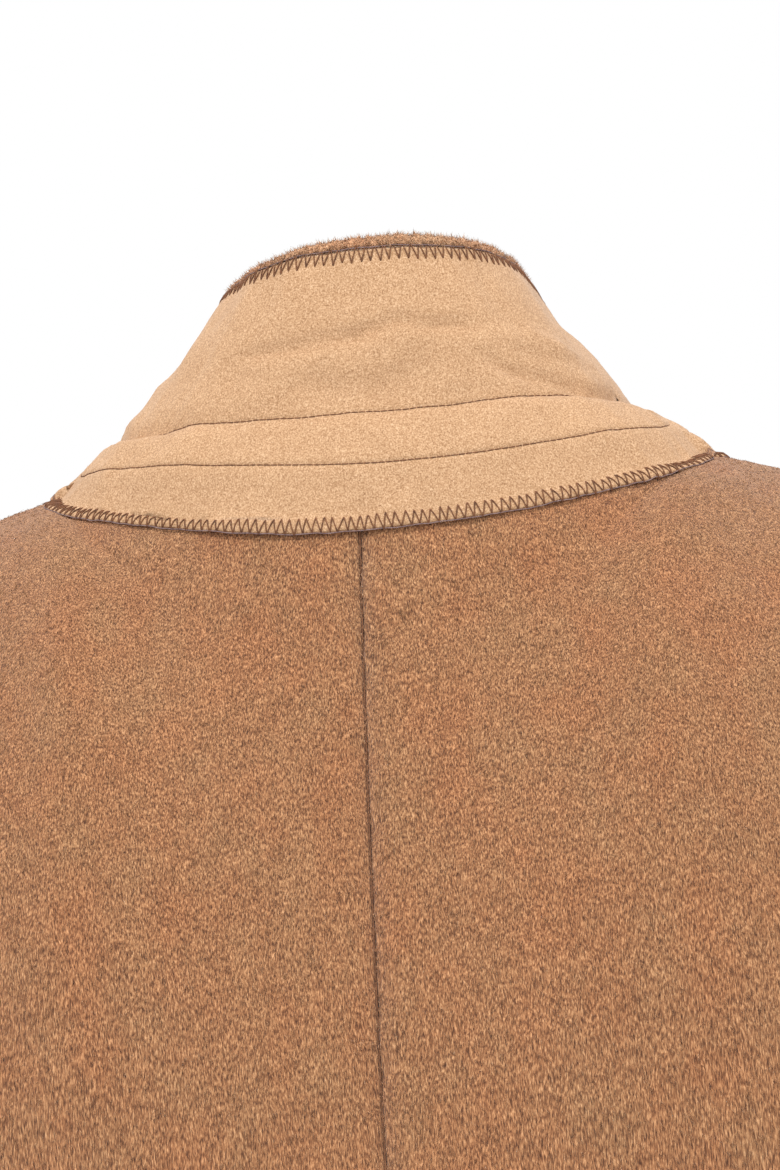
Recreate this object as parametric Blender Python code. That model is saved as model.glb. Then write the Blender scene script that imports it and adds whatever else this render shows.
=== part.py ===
"""A men's single-breasted wool topcoat, filled out as when worn, with its collar turned up.

Metres, +Z up. The front faces -Y and the wearer's left is +X. The origin is the middle of the neck
opening, level with the points where the shoulder seams meet the neck. Every panel is a closed wall:
an outer grid of points, the same grid moved in by the cloth's thickness, and a rim between them.
"""

import math

import bmesh
import bpy
import numpy as np

# Cloth thicknesses and the gaps between pieces
WOOL = 0.0024
FELT = 0.0015
COLLAR_WOOL = 0.0022
SEAM_GAP = 0.0004
LAYER_GAP = 0.0004
LAP_GAP = 0.0011

# Body
UNDERARM_Z = -0.240
PLAN_POWER = 2.4
BODY_COLUMNS = ("height", "half_width", "back_depth", "front_depth")
BODY = (
    (-1.000, 0.262, 0.165, 0.160),
    (-0.800, 0.248, 0.150, 0.149),
    (-0.620, 0.234, 0.136, 0.137),
    (-0.440, 0.213, 0.115, 0.124),
    (-0.330, 0.219, 0.117, 0.131),
    (-0.240, 0.228, 0.119, 0.135),
)
LOWER_ROWS = (-1.000, -0.900, -0.800, -0.700, -0.610, -0.517, -0.460, -0.402, -0.345, -0.287, -0.262)

# Shoulders and neck
NECK_HALF_WIDTH = 0.0970
NECK_DEPTH = 0.060
NECK_DROP = 0.0150
NECK_DROP_POWER = 1.5
SHOULDER_TIP_X = 0.232
SHOULDER_SLOPE = math.tan(math.radians(19.8))
SHOULDER_START_X = 0.085
SHOULDER_SOFTNESS = 0.020
YOKE_HALF_WIDTH = 0.250
YOKE_SPREAD_END = 0.5
NECK_SHARE = 0.30
CORNER_REACH = 0.9
CORNER_ROUNDED_CLIMB = 0.80
CORNER_OFFSETS = np.array((-1.0, -0.5, 0.0, 0.5, 1.0))
CORNER_WEIGHTS = np.array((1.0, 2.0, 3.0, 2.0, 1.0)) / 9.0
NECK_COLUMNS = 5
SHOULDER_COLUMNS = 6
UPPER_ROWS = (0.0, 0.04, 0.11, 0.22, 0.36, 0.50, 0.64, 0.77, 0.88, 0.95, 1.0)
ARMHOLE_COLUMNS = ("climb", "back_x", "front_x")
ARMHOLE = (
    (0.00, 0.2280, 0.2280),
    (0.04, 0.2205, 0.2190),
    (0.11, 0.2135, 0.2090),
    (0.30, 0.2060, 0.1980),
    (0.55, 0.2045, 0.1970),
    (0.80, 0.2150, 0.2110),
    (1.00, 0.2320, 0.2320),
)
# How a section bends over from the shoulder blade: the height share of its first control point,
# then the depth and height shares of its second
NECK_BEND = (0.30, 0.45, 0.72)
SHOULDER_BEND = (0.55, 0.50, 1.00)

# Front opening
BUTTON_STAND = 0.025
ROLL_BREAK_Z = -0.262
ROLL_TOP_X = 0.088
ROLL_TOP_Z = -0.045
GORGE_CLIMB = 0.535
OVERLAP_STEP = 0.0018
OVERLAP_FULL_X = 0.030
OVERLAP_END_X = 0.080

# Soft upright folds of the skirt
# (number of folds round the body, depth, phase)
SKIRT_FOLDS = ((5, 0.0050, 0.6), (8, 0.0034, 2.1), (13, 0.0012, 0.3))
SKIRT_FADE = (-0.46, -1.00)
FRONT_CALM = (0.030, 0.110)

# Collar, one row for each station from the centre back to the front end
COLLAR_LAP = 0.0045
CORNER_SPAN = 0.06
BACK_SHARE = 0.60
CHEST_MIDDLE = np.array((0.0, 0.0, -0.2))
NECK_MIDDLE = np.array((0.0, -0.02, 0.05))
COLLAR_COLUMNS = ("station", "roll_x", "roll_y", "roll_z", "edge_x", "edge_y", "edge_z")
COLLAR = (
    (0.00, 0.0000, 0.0530, 0.0205, 0.0000, 0.0460, 0.0671),
    (0.15, 0.0275, 0.0500, 0.0203, 0.0178, 0.0428, 0.0666),
    (0.30, 0.0510, 0.0405, 0.0192, 0.0330, 0.0310, 0.0640),
    (0.45, 0.0703, 0.0245, 0.0175, 0.0432, 0.0110, 0.0590),
    (0.60, 0.0788, 0.0000, 0.0155, 0.0465, -0.0150, 0.0520),
    (0.80, 0.0795, -0.0520, 0.0010, 0.0500, -0.0740, 0.0300),
    (1.00, 0.0790, -0.0970, -0.0440, 0.0700, -0.1270, -0.0010),
)
ROLL_SWAY = 0.0012
EDGE_SWAY = -0.0022
STAND_BULGE = 0.0022
STAND_BULGE_SIDE = 0.0027
STAND_BULGE_POWER = 0.8
SIDE_START = 0.15
SIDE_FULL = 0.50
END_START = 0.80
FALL_BULGE = 0.0012
CREASE_TUCK = 0.0014
COLLAR_STEPS = 16
FOOT_STEPS = (0.0, 0.24, 0.48, 0.74, 1.0)
STAND_STEPS = (0.72, 0.89)
STAND_MIDDLE = 0.5
FALL_STEPS = (0.0, 0.16, 0.36, 0.58, 0.80, 1.0)
TOP_COLLAR_START = 2
# (rise over the felt's edge, outer inset, inner inset)
RIM = ((0.0007, 0.0018, 0.0040), (0.0020, 0.0004, 0.0038), (0.0036, 0.0012, 0.0028))

# Lapels
LAPEL_POINT = (0.141, -0.112)
LAPEL_BELLY = (0.0036, -0.0048)
LAPEL_LIFT = 0.0040
LAPEL_LIFT_SHARE = 0.7
LAPEL_HIDDEN_MOST = 0.9
LAPEL_OVERHANG = 0.0015
LAPEL_DROP = 0.0035
LAPEL_ROWS = 9
LAPEL_COLUMNS = 6
RIGHT_LAPEL_START = 0.24
LAPEL_CLEARANCE = 0.003

# Sleeves
SLEEVE_SIDES = 24
FRONT_SEAM = 21
BACK_SEAM = 4
SLEEVE_COLUMNS = ("height", "middle_x", "middle_y", "half_x", "half_y")
SLEEVE = (
    (-0.686, 0.3360, -0.048, 0.0460, 0.0520),
    (-0.620, 0.3320, -0.034, 0.0490, 0.0550),
    (-0.550, 0.3270, -0.020, 0.0520, 0.0590),
    (-0.470, 0.3200, -0.008, 0.0550, 0.0640),
    (-0.410, 0.3140, -0.003, 0.0570, 0.0680),
    (-0.340, 0.3060, -0.002, 0.0585, 0.0715),
    (-0.266, 0.2980, -0.002, 0.0590, 0.0745),
)
SLEEVE_RINGS = 11
CAP_ROWS = (0.0, 0.12, 0.28, 0.46, 0.64, 0.82)
CAP_OUT = 0.62
CAP_DOWN = 0.95
CAP_ROLL = -0.20
CAP_UNDERARM = 0.35
SLEEVE_START = 0.0008
EDGE_SAMPLES = 200

# Buttons
BUTTON_HEIGHTS = (-0.287, -0.402, -0.517)
BUTTON_RADIUS = 0.0125
# (radius, height) of a button, from the middle of its face to its foot
BUTTON_PROFILE = (
    (0.0, 0.0022),
    (0.0078, 0.0022),
    (0.0094, 0.0036),
    (0.0116, 0.0036),
    (0.0125, 0.0024),
    (0.0112, 0.0),
)
BUTTON_SIDES = 24
BUTTON_GAP = 0.0006
HOLE_RADIUS = 0.0011
HOLE_OFFSET = 0.0022
HOLE_SIDES = 8
HOLE_ENDS = (-0.004, 0.008)

SMALL = 1e-4
SHARP_ANGLE = math.radians(40)
CLIMB_SAMPLES = 400


# ---- Curves and tables


def column(table, names, name):
    return np.array([row[names.index(name)] for row in table])


def smooth_curve(knots, values, at):
    """A smooth curve through the knots, read at the given places."""
    slopes = np.gradient(values, knots)
    at = np.clip(at, knots[0], knots[-1])
    k = np.clip(np.searchsorted(knots, at, side="right") - 1, 0, len(knots) - 2)
    span = knots[k + 1] - knots[k]
    t = (at - knots[k]) / span
    start = (1 + 2 * t) * (1 - t) ** 2 * values[k] + t * (1 - t) ** 2 * span * slopes[k]
    end = t**2 * (3 - 2 * t) * values[k + 1] + t**2 * (t - 1) * span * slopes[k + 1]
    return start + end


def from_table(table, names, name, at):
    """The named column as a smooth curve over the table's first column."""
    return smooth_curve(column(table, names, names[0]), column(table, names, name), at)


def ramp(start, end, at):
    t = np.clip((at - start) / (end - start), 0.0, 1.0)
    return t * t * (3 - 2 * t)


def unit(vectors):
    return vectors / np.linalg.norm(vectors, axis=-1, keepdims=True)


# ---- The worn form


def drape(points):
    """Adds the soft upright folds of the skirt."""
    x, y, z = points[..., 0], points[..., 1], points[..., 2]
    round_angle = np.arctan2(x, y)
    swell = sum(depth * np.cos(count * round_angle + phase) for count, depth, phase in SKIRT_FOLDS)
    swell = swell * ramp(*SKIRT_FADE, z) * np.where(y < 0, ramp(*FRONT_CALM, np.abs(x)), 1.0)
    radius = np.hypot(x, y) + SMALL
    return np.stack([x + swell * x / radius, y + swell * y / radius, z], axis=-1)


def shoulder_z(x):
    """Height of the shoulder seam, with a soft start beside the neck."""

    def soft(t):
        return (t + np.sqrt(t * t + SHOULDER_SOFTNESS**2)) / 2

    neck = soft(NECK_HALF_WIDTH - SHOULDER_START_X)
    return -SHOULDER_SLOPE * (soft(np.abs(x) - SHOULDER_START_X) - neck)


def section_depth(x, half_width, depth):
    across = np.clip(np.abs(x) / half_width, 0.0, 1.0)
    return depth * (1 - across**PLAN_POWER) ** (1 / PLAN_POWER)


def bend(climb, lift, depth_share, height_share):
    """(depth, height) shares along a section that rises upright and bends over at its top."""
    down = 1 - climb
    first, second, third = 3 * down**2 * climb, 3 * down * climb**2, climb**3
    return down**3 + first + second * depth_share, first * lift + second * height_share + third


def yoke_half_width(climb):
    spread = ramp(0.0, YOKE_SPREAD_END, climb)
    underarm = from_table(BODY, BODY_COLUMNS, "half_width", UNDERARM_Z)
    return underarm + (YOKE_HALF_WIDTH - underarm) * spread


def lower_body(side, u, z):
    """A point of the body below the underarm. u runs from the centre to the side seam."""
    half_width = from_table(BODY, BODY_COLUMNS, "half_width", z)
    depth = from_table(BODY, BODY_COLUMNS, side + "_depth", z)
    angle = u * math.pi / 2
    return half_width * np.sin(angle) ** (2 / PLAN_POWER), depth * np.cos(angle) ** (2 / PLAN_POWER)


def spread_of(u):
    return np.sin(np.clip(u, 0, 1) * math.pi / 2) ** (2 / PLAN_POWER)


def back_lower(u, z):
    x, y = lower_body("back", u, z)
    return np.stack([x, y, z + 0 * x], axis=-1)


def back_top(u):
    """(x, y) of the back's upper edge: round the neck, then straight along the shoulder."""
    neck = np.clip(u / NECK_SHARE, 0, 1) * math.pi / 2
    outside = np.clip((u - NECK_SHARE) / (1 - NECK_SHARE), 0, 1)
    x = NECK_HALF_WIDTH * np.sin(neck) + outside * (SHOULDER_TIP_X - NECK_HALF_WIDTH)
    return x, NECK_DEPTH * np.cos(neck)


def back_upper(u, climb):
    """A point of the back above the underarm. u runs from the centre to the armhole."""
    neck = np.clip(u / NECK_SHARE, 0, 1)
    reach = CORNER_REACH * u * (1 - u) * ramp(1.0, CORNER_ROUNDED_CLIMB, climb)
    nearby = [back_top(u + reach * offset) for offset in CORNER_OFFSETS]
    top_x, top_y = [sum(w * place[k] for w, place in zip(CORNER_WEIGHTS, nearby)) for k in (0, 1)]
    edge = from_table(ARMHOLE, ARMHOLE_COLUMNS, "back_x", climb)
    share = spread_of(u) * (1 - climb) + climb * top_x / SHOULDER_TIP_X
    x = share * edge
    top_z = shoulder_z(x) - NECK_DROP * np.cos(neck * math.pi / 2) ** NECK_DROP_POWER
    bent = ramp(0.0, 1.0, neck)
    controls = [start + (end - start) * bent for start, end in zip(NECK_BEND, SHOULDER_BEND)]
    depth_share, height_share = bend(climb, *controls)
    deepest = from_table(BODY, BODY_COLUMNS, "back_depth", UNDERARM_Z)
    full = section_depth(x, yoke_half_width(climb), deepest)
    y = top_y + (full - top_y) * depth_share
    return np.stack([x, y, UNDERARM_Z + (top_z - UNDERARM_Z) * height_share], axis=-1)


def front_upper_at(x, climb):
    """A point of the front above the underarm, by its distance from the centre front."""
    depth_share, height_share = bend(climb, *SHOULDER_BEND)
    deepest = from_table(BODY, BODY_COLUMNS, "front_depth", UNDERARM_Z)
    full = section_depth(x, yoke_half_width(climb), deepest)
    z = UNDERARM_Z + (shoulder_z(x) - UNDERARM_Z) * height_share
    return np.stack([x + 0 * climb, -full * depth_share, z], axis=-1)


def front_lower_at(x, z):
    half_width = from_table(BODY, BODY_COLUMNS, "half_width", z)
    depth = from_table(BODY, BODY_COLUMNS, "front_depth", z)
    return np.stack([x + 0 * z, -section_depth(x, half_width, depth), z + 0 * x], axis=-1)


CLIMBS = np.linspace(0.0, 1.0, CLIMB_SAMPLES)
HEIGHT_SHARES = bend(CLIMBS, *SHOULDER_BEND)[1]


def front_at(x, z):
    """The front surface by width and height, for what lies on it."""
    share = np.clip((z - UNDERARM_Z) / (shoulder_z(x) - UNDERARM_Z), 0, 1)
    upper = front_upper_at(x, np.interp(share, HEIGHT_SHARES, CLIMBS))
    lower = front_lower_at(x, np.minimum(z, UNDERARM_Z))
    return np.where((z >= UNDERARM_Z)[..., None], upper, lower)


def front_edge_x(z):
    """The front's free edge: upright below the lapel's break, and the roll line above it."""
    along = np.clip((z - ROLL_BREAK_Z) / (ROLL_TOP_Z - ROLL_BREAK_Z), 0, 1)
    neck = np.clip((z - ROLL_TOP_Z) / -ROLL_TOP_Z, 0, 1)
    return -BUTTON_STAND + (ROLL_TOP_X + BUTTON_STAND) * along + (NECK_HALF_WIDTH - ROLL_TOP_X) * neck


def overlap_shift(x, layer):
    """How far a front stands out (layer 1) or in (layer -1) where the fronts overlap."""
    return layer * OVERLAP_STEP * ramp(OVERLAP_END_X, OVERLAP_FULL_X, np.abs(x))


def lay_over(points, layer):
    moved = points.copy()
    moved[..., 1] -= overlap_shift(points[..., 0], layer)
    return moved


def front_upper(u, climb, layer):
    height = UNDERARM_Z - UNDERARM_Z * bend(climb, *SHOULDER_BEND)[1]
    inner = front_edge_x(height)
    outer = from_table(ARMHOLE, ARMHOLE_COLUMNS, "front_x", climb)
    x = inner + (outer - inner) * spread_of(u) ** (1 - climb) * u**climb
    return lay_over(front_upper_at(x, climb), layer)


def front_lower(u, z, layer):
    half_width = from_table(BODY, BODY_COLUMNS, "half_width", z)
    inner = front_edge_x(z)
    return lay_over(front_lower_at(inner + (half_width - inner) * spread_of(u), z), layer)


# ---- Walls


def grid_of(surface, first, second):
    """Points and unit normals of a surface on a grid, with the skirt's folds."""
    a, b = np.meshgrid(first, second, indexing="ij")

    def place(da, db):
        return drape(surface(a + da, b + db))

    inside_a, inside_b = np.where(a > first[0], -SMALL, SMALL), np.where(b < second[-1], SMALL, -SMALL)
    points = place(0, 0)
    along_a = (place(inside_a, 0) - points) / inside_a[..., None]
    along_b = (place(0, inside_b) - points) / inside_b[..., None]
    return points, unit(np.cross(along_a, along_b))


def pull_in(points, start, end, axis):
    """Moves a grid's first and last lines in from the seams that they lie on."""
    grid = np.moveaxis(points.copy(), axis, 0)
    if start:
        grid[0] += unit(grid[1] - grid[0]) * start
    if end:
        grid[-1] += unit(grid[-2] - grid[-1]) * end
    return np.moveaxis(grid, 0, axis)


def mirrored(points):
    return points * np.array([-1.0, 1.0, 1.0])


def material(name, colour, roughness):
    made = bpy.data.materials.new(name)
    made.use_nodes = True
    shader = made.node_tree.nodes["Principled BSDF"]
    shader.inputs["Base Color"].default_value = (*colour, 1.0)
    shader.inputs["Roughness"].default_value = roughness
    shader.inputs["Metallic"].default_value = 0.0
    return made


def add_object(name, points, faces, finish):
    mesh = bpy.data.meshes.new(name)
    mesh.from_pydata([tuple(p) for p in points], [], faces)
    shape = bmesh.new()
    shape.from_mesh(mesh)
    bmesh.ops.recalc_face_normals(shape, faces=shape.faces)
    if shape.calc_volume(signed=True) < 0:
        bmesh.ops.reverse_faces(shape, faces=shape.faces)
    shape.to_mesh(mesh)
    shape.free()
    mesh.shade_smooth()
    mesh.set_sharp_from_angle(angle=SHARP_ANGLE)
    mesh.materials.append(finish)
    made = bpy.data.objects.new(name, mesh)
    bpy.context.scene.collection.objects.link(made)
    return made


def wall(name, outer, inner, finish):
    """A closed wall between two grids of points."""
    rows, columns = outer.shape[:2]
    count = rows * columns

    def face(i, j, base):
        a = base + i * columns + j
        return a, a + 1, a + columns + 1, a + columns

    faces = []
    for i in range(rows - 1):
        for j in range(columns - 1):
            for base, turn in ((0, 1), (count, -1)):
                a, b, c, d = face(i, j, base)
                faces.append((a, b, c)[::turn])
                faces.append((a, c, d)[::turn])
    loop = [(0, j) for j in range(columns)]
    loop += [(i, columns - 1) for i in range(1, rows)]
    loop += [(rows - 1, j) for j in range(columns - 2, -1, -1)]
    loop += [(i, 0) for i in range(rows - 2, 0, -1)]
    for (i, j), (k, m) in zip(loop, loop[1:] + loop[:1]):
        a, b = i * columns + j, k * columns + m
        faces.append((b, a, a + count, b + count))
    return add_object(name, np.concatenate([outer.reshape(-1, 3), inner.reshape(-1, 3)]), faces, finish)


def cloth_wall(name, points, normals, thickness, finish):
    return wall(name, points, points - normals * thickness, finish)


# ---- Back and fronts


def panel_columns():
    neck = np.linspace(0, NECK_SHARE, NECK_COLUMNS + 1)
    return np.concatenate([neck, np.linspace(NECK_SHARE, 1, SHOULDER_COLUMNS + 1)[1:]])


def panel_grid(lower, upper, columns):
    """Rows from the hem to the shoulder, with the normals facing out."""
    low, low_out = grid_of(lambda z, u: lower(u, z), np.array(LOWER_ROWS), columns)
    high, high_out = grid_of(lambda climb, u: upper(u, climb), np.array(UPPER_ROWS), columns)
    points, normals = np.concatenate([low, high]), np.concatenate([low_out, high_out])
    middle = points.mean(axis=(0, 1))
    if np.sum(normals[..., 1]) * middle[1] < 0:
        normals = -normals
    return points, normals


def sided(points, side):
    """The left side's points, or their mirror for the right side."""
    return points if side > 0 else mirrored(points)


def make_back(side, name, finish):
    def lower(u, z):
        return sided(back_lower(u, z), side)

    def upper(u, climb):
        return sided(back_upper(u, climb), side)

    points, normals = panel_grid(lower, upper, panel_columns())
    points = pull_in(points, 0, SEAM_GAP / 2, 0)
    points = pull_in(points, SEAM_GAP / 2, SEAM_GAP / 2, 1)
    return cloth_wall(name, points, normals, WOOL, finish)


def make_front(side, name, finish):
    def lower(u, z):
        return sided(front_lower(u, z, side), side)

    def upper(u, climb):
        return sided(front_upper(u, climb, side), side)

    points, normals = panel_grid(lower, upper, panel_columns())
    points = pull_in(points, 0, SEAM_GAP / 2, 0)
    points = pull_in(points, 0, SEAM_GAP / 2, 1)
    return cloth_wall(name, points, normals, WOOL, finish)


# ---- Lapels


def lapel_grid(side):
    """The turned-back lapel, laid on its front and lifted a little along the roll."""
    start = 0.0 if side > 0 else RIGHT_LAPEL_START
    climb = np.linspace(start, 1, LAPEL_ROWS)[:, None]
    across = np.linspace(0, 1, LAPEL_COLUMNS)[None, :]
    top_z = gorge_height() - LAPEL_DROP
    inner_z = ROLL_BREAK_Z + LAPEL_CLEARANCE + (top_z - ROLL_BREAK_Z - LAPEL_CLEARANCE) * climb
    inner_x = front_edge_x(inner_z) - LAPEL_OVERHANG
    foot_x = -BUTTON_STAND + LAPEL_CLEARANCE
    foot_z = ROLL_BREAK_Z
    outer_x = foot_x + (LAPEL_POINT[0] - foot_x) * climb
    outer_z = foot_z + (LAPEL_POINT[1] - foot_z) * climb
    belly = np.sin(math.pi * climb)
    outer_x, outer_z = outer_x + LAPEL_BELLY[0] * belly, outer_z + LAPEL_BELLY[1] * belly
    if side < 0:
        clear_x = LAPEL_CLEARANCE - front_edge_x(inner_z)
        width = np.maximum(outer_x - inner_x, SMALL)
        hidden = np.clip((clear_x - inner_x) / width, 0, LAPEL_HIDDEN_MOST)
        across = hidden + (1 - hidden) * across
    x = inner_x + (outer_x - inner_x) * across
    z = inner_z + (outer_z - inner_z) * across
    return x, z, across


def gorge_height():
    return UNDERARM_Z - UNDERARM_Z * bend(GORGE_CLIMB, *SHOULDER_BEND)[1]


def make_lapel(side, name, finish):
    x, z, across = lapel_grid(side)

    def surface(dx, dz):
        return drape(sided(lay_over(front_at(x + dx, z + dz), side), side))

    points = surface(0, 0)
    normals = unit(np.cross(surface(SMALL, 0) - points, surface(0, SMALL) - points))
    normals = np.where(normals[..., 1:2] > 0, -normals, normals)
    lift = LAPEL_LIFT * np.sin(math.pi * np.clip(across / LAPEL_LIFT_SHARE, 0, 1)) ** 2
    inner = points + normals * (LAYER_GAP + lift)[..., None]
    return wall(name, inner + normals * WOOL, inner, finish)


# ---- Collar


def neck_seam(station):
    """(point, outward normal, way down the body) of the neck seam at a signed station."""
    side = 1 if station >= 0 else -1
    s = abs(station)

    def at(offset, down):
        place = np.array(s + offset)
        if place < BACK_SHARE:
            found = back_upper(place / BACK_SHARE * NECK_SHARE, np.array(1.0 - down))
        else:
            climb = 1 - (1 - GORGE_CLIMB) * (place - BACK_SHARE) / (1 - BACK_SHARE)
            height = UNDERARM_Z - UNDERARM_Z * bend(climb, *SHOULDER_BEND)[1]
            found = front_upper_at(front_edge_x(height) + down, climb)
        return drape(sided(found, side))

    point = at(0, 0)
    step = SMALL if s < 1 - SMALL else -SMALL
    normal = unit(np.cross(at(step, 0) - point, at(0, SMALL) - point))
    if normal @ (point - CHEST_MIDDLE) < 0:
        normal = -normal
    before = mirrored(at(CORNER_SPAN, 0)) if s < CORNER_SPAN else at(-CORNER_SPAN, 0)
    after = point if s > 1 - CORNER_SPAN else at(CORNER_SPAN, 0)
    down = unit(np.cross(normal, after - before))
    return point, normal, down if down @ (point - NECK_MIDDLE) > 0 else -down


def collar_line(part, station):
    """The roll line or the free edge of the collar at a signed station."""
    side = 1 if station >= 0 else -1
    place = [from_table(COLLAR, COLLAR_COLUMNS, f"{part}_{axis}", abs(station)) for axis in "xyz"]
    sway = np.array([EDGE_SWAY if part == "edge" else ROLL_SWAY, 0.0, 0.0])
    return sided(np.array(place, dtype=float), side) + sway


def collar_grid():
    """(points, normals) of the felt's outer face, from its lower edge to its top edge."""
    stations = np.linspace(-1, 1, 2 * COLLAR_STEPS - 1)
    columns = []
    for station in stations:
        seam, normal, down = neck_seam(station)
        foot = seam + normal * (LAP_GAP + FELT)
        roll, edge = collar_line("roll", station), collar_line("edge", station)
        step = SMALL if station < 1 - SMALL else -SMALL
        level = (collar_line("roll", station + step) - roll) / step
        stand_out = unit(np.cross(roll - foot, level))
        fall_out = unit(np.cross(edge - roll, level))
        sideways = ramp(SIDE_START, SIDE_FULL, abs(station))
        fading = 1 - ramp(END_START, 1.0, abs(station))
        bulge = STAND_BULGE + (STAND_BULGE_SIDE - STAND_BULGE) * sideways * fading
        tuck = CREASE_TUCK * sideways * fading

        def stand(t):
            round_out = bulge * math.sin(math.pi * t) ** STAND_BULGE_POWER
            return foot + (roll - foot) * t + stand_out * round_out

        lap, middle = foot + down * COLLAR_LAP, stand(STAND_MIDDLE)
        rows = [(1 - t) ** 2 * lap + 2 * t * (1 - t) * foot + t**2 * middle for t in FOOT_STEPS]
        rows += [stand(t) for t in STAND_STEPS]
        for t in FALL_STEPS:
            round_out = FALL_BULGE * math.sin(math.pi * t) - tuck * (1 - t) ** 3
            rows.append(roll + (edge - roll) * t + fall_out * round_out)
        columns.append(rows)
    points = np.array(columns).transpose(1, 0, 2)
    return points, grid_normals(points)


def grid_normals(points):
    """Unit normals of a grid of points, facing away from the neck's axis."""
    rows = np.gradient(points, axis=0)
    columns = np.gradient(points, axis=1)
    normals = unit(np.cross(rows, columns))
    middle = points.shape[1] // 2
    return normals if normals[0, middle, 1] > 0 else -normals


def make_undercollar(finish):
    points, normals = collar_grid()
    return cloth_wall("undercollar", points, normals, FELT, finish)


def make_top_collar(finish):
    """The wool inside the felt, from the neck seam to a rim that stands over the felt's top edge."""
    points, normals = collar_grid()
    body, body_out = points[TOP_COLLAR_START:], normals[TOP_COLLAR_START:]
    up = unit(points[-1] - points[-2])
    outer = [body - body_out * (FELT + LAYER_GAP)]
    inner = [body - body_out * (FELT + LAYER_GAP + COLLAR_WOOL)]
    for rise, outer_inset, inner_inset in RIM:
        outer.append((points[-1] + up * rise - normals[-1] * outer_inset)[None])
        inner.append((points[-1] + up * rise - normals[-1] * inner_inset)[None])
    return wall("top_collar", np.concatenate(outer), np.concatenate(inner), finish)


# ---- Sleeves


def armhole_loop(side):
    """The armhole's edge from the underarm up the back, over the shoulder tip and down the front."""
    half = SLEEVE_SIDES // 2
    dense = np.linspace(0, 1, EDGE_SAMPLES)
    loop = []
    for surface, direction in ((back_upper, 1), (front_upper, -1)):
        extra = () if direction > 0 else (0,)
        edge = surface(np.ones_like(dense), dense, *extra)
        length = np.concatenate([[0], np.cumsum(np.linalg.norm(np.diff(edge, axis=0), axis=1))])
        places = np.interp(np.linspace(0, length[-1], half + 1), length, dense)
        points = surface(np.ones_like(places), places, *extra)[::direction]
        loop.append(points[:-1])
    return drape(sided(np.concatenate(loop), side))


def sleeve_ring(z, side):
    middle_x = from_table(SLEEVE, SLEEVE_COLUMNS, "middle_x", z)
    middle_y = from_table(SLEEVE, SLEEVE_COLUMNS, "middle_y", z)
    half_x = from_table(SLEEVE, SLEEVE_COLUMNS, "half_x", z)
    half_y = from_table(SLEEVE, SLEEVE_COLUMNS, "half_y", z)
    angle = 2 * math.pi * np.arange(SLEEVE_SIDES) / SLEEVE_SIDES
    x = middle_x - half_x * np.cos(angle)
    y = middle_y + half_y * np.sin(angle)
    return sided(np.stack([x, y, z + 0 * x], axis=-1), side)


def sleeve_grid(side):
    """Rings from the armhole to the cuff, with a set-in cap between the armhole and the upper arm."""
    start = armhole_loop(side) + np.array([side * SLEEVE_START, 0, 0])
    cuff, top = SLEEVE[0][0], SLEEVE[-1][0]
    end = sleeve_ring(top, side)
    below = sleeve_ring(top + (cuff - top) / SLEEVE_RINGS, side)
    down = unit(below - end)
    reach = np.linalg.norm(end - start, axis=-1, keepdims=True)
    top_share = (1 - np.cos(2 * math.pi * np.arange(SLEEVE_SIDES) / SLEEVE_SIDES))[:, None] / 2
    out = unit(np.concatenate([np.full_like(top_share, side), 0 * top_share, CAP_ROLL * top_share], axis=1))
    swell = CAP_UNDERARM + (1 - CAP_UNDERARM) * top_share
    rings = []
    for t in CAP_ROWS:
        ring = (2 * t**3 - 3 * t**2 + 1) * start + (3 * t**2 - 2 * t**3) * end
        ring = ring + (t**3 - 2 * t**2 + t) * reach * CAP_OUT * out * swell
        rings.append(ring + (t**3 - t**2) * reach * CAP_DOWN * down)
    heights = np.linspace(top, cuff, SLEEVE_RINGS)
    rings += [sleeve_ring(z, side) for z in heights]
    return np.array(rings)


def ring_normals(rings):
    """Unit normals of a tube of rings, facing away from its middle."""
    round_way = np.roll(rings, -1, axis=1) - np.roll(rings, 1, axis=1)
    along = np.gradient(rings, axis=0)
    normals = unit(np.cross(round_way, along))
    outward = rings - rings.mean(axis=1, keepdims=True)
    return normals if np.sum(normals * outward) > 0 else -normals


def make_sleeve(side, names, finish):
    rings = sleeve_grid(side)
    normals = ring_normals(rings)
    top_columns = np.arange(BACK_SEAM, FRONT_SEAM + 1)
    under_columns = np.arange(FRONT_SEAM, SLEEVE_SIDES + BACK_SEAM + 1) % SLEEVE_SIDES
    for name, columns in zip(names, (top_columns, under_columns)):
        points = pull_in(rings[:, columns], SEAM_GAP / 2, SEAM_GAP / 2, 1)
        cloth_wall(name, points, normals[:, columns], WOOL, finish)


# ---- Buttons


def lathe(name, profile, sides, finish):
    """A closed turned piece about +Z: the profile's first point is on the axis, its last is the foot."""
    angle = 2 * math.pi * np.arange(sides) / sides
    points = [(0.0, 0.0, profile[0][1])]
    for radius, z in profile[1:]:
        points += [(radius * math.cos(a), radius * math.sin(a), z) for a in angle]
    faces = []
    rings = len(profile) - 1
    for k in range(sides):
        following = (k + 1) % sides
        faces.append((0, 1 + k, 1 + following))
        for ring in range(rings - 1):
            a, b = 1 + ring * sides, 1 + (ring + 1) * sides
            faces.append((a + k, b + k, b + following, a + following))
    faces.append([1 + (rings - 1) * sides + k for k in range(sides - 1, -1, -1)])
    return add_object(name, np.array(points), faces, finish)


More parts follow.
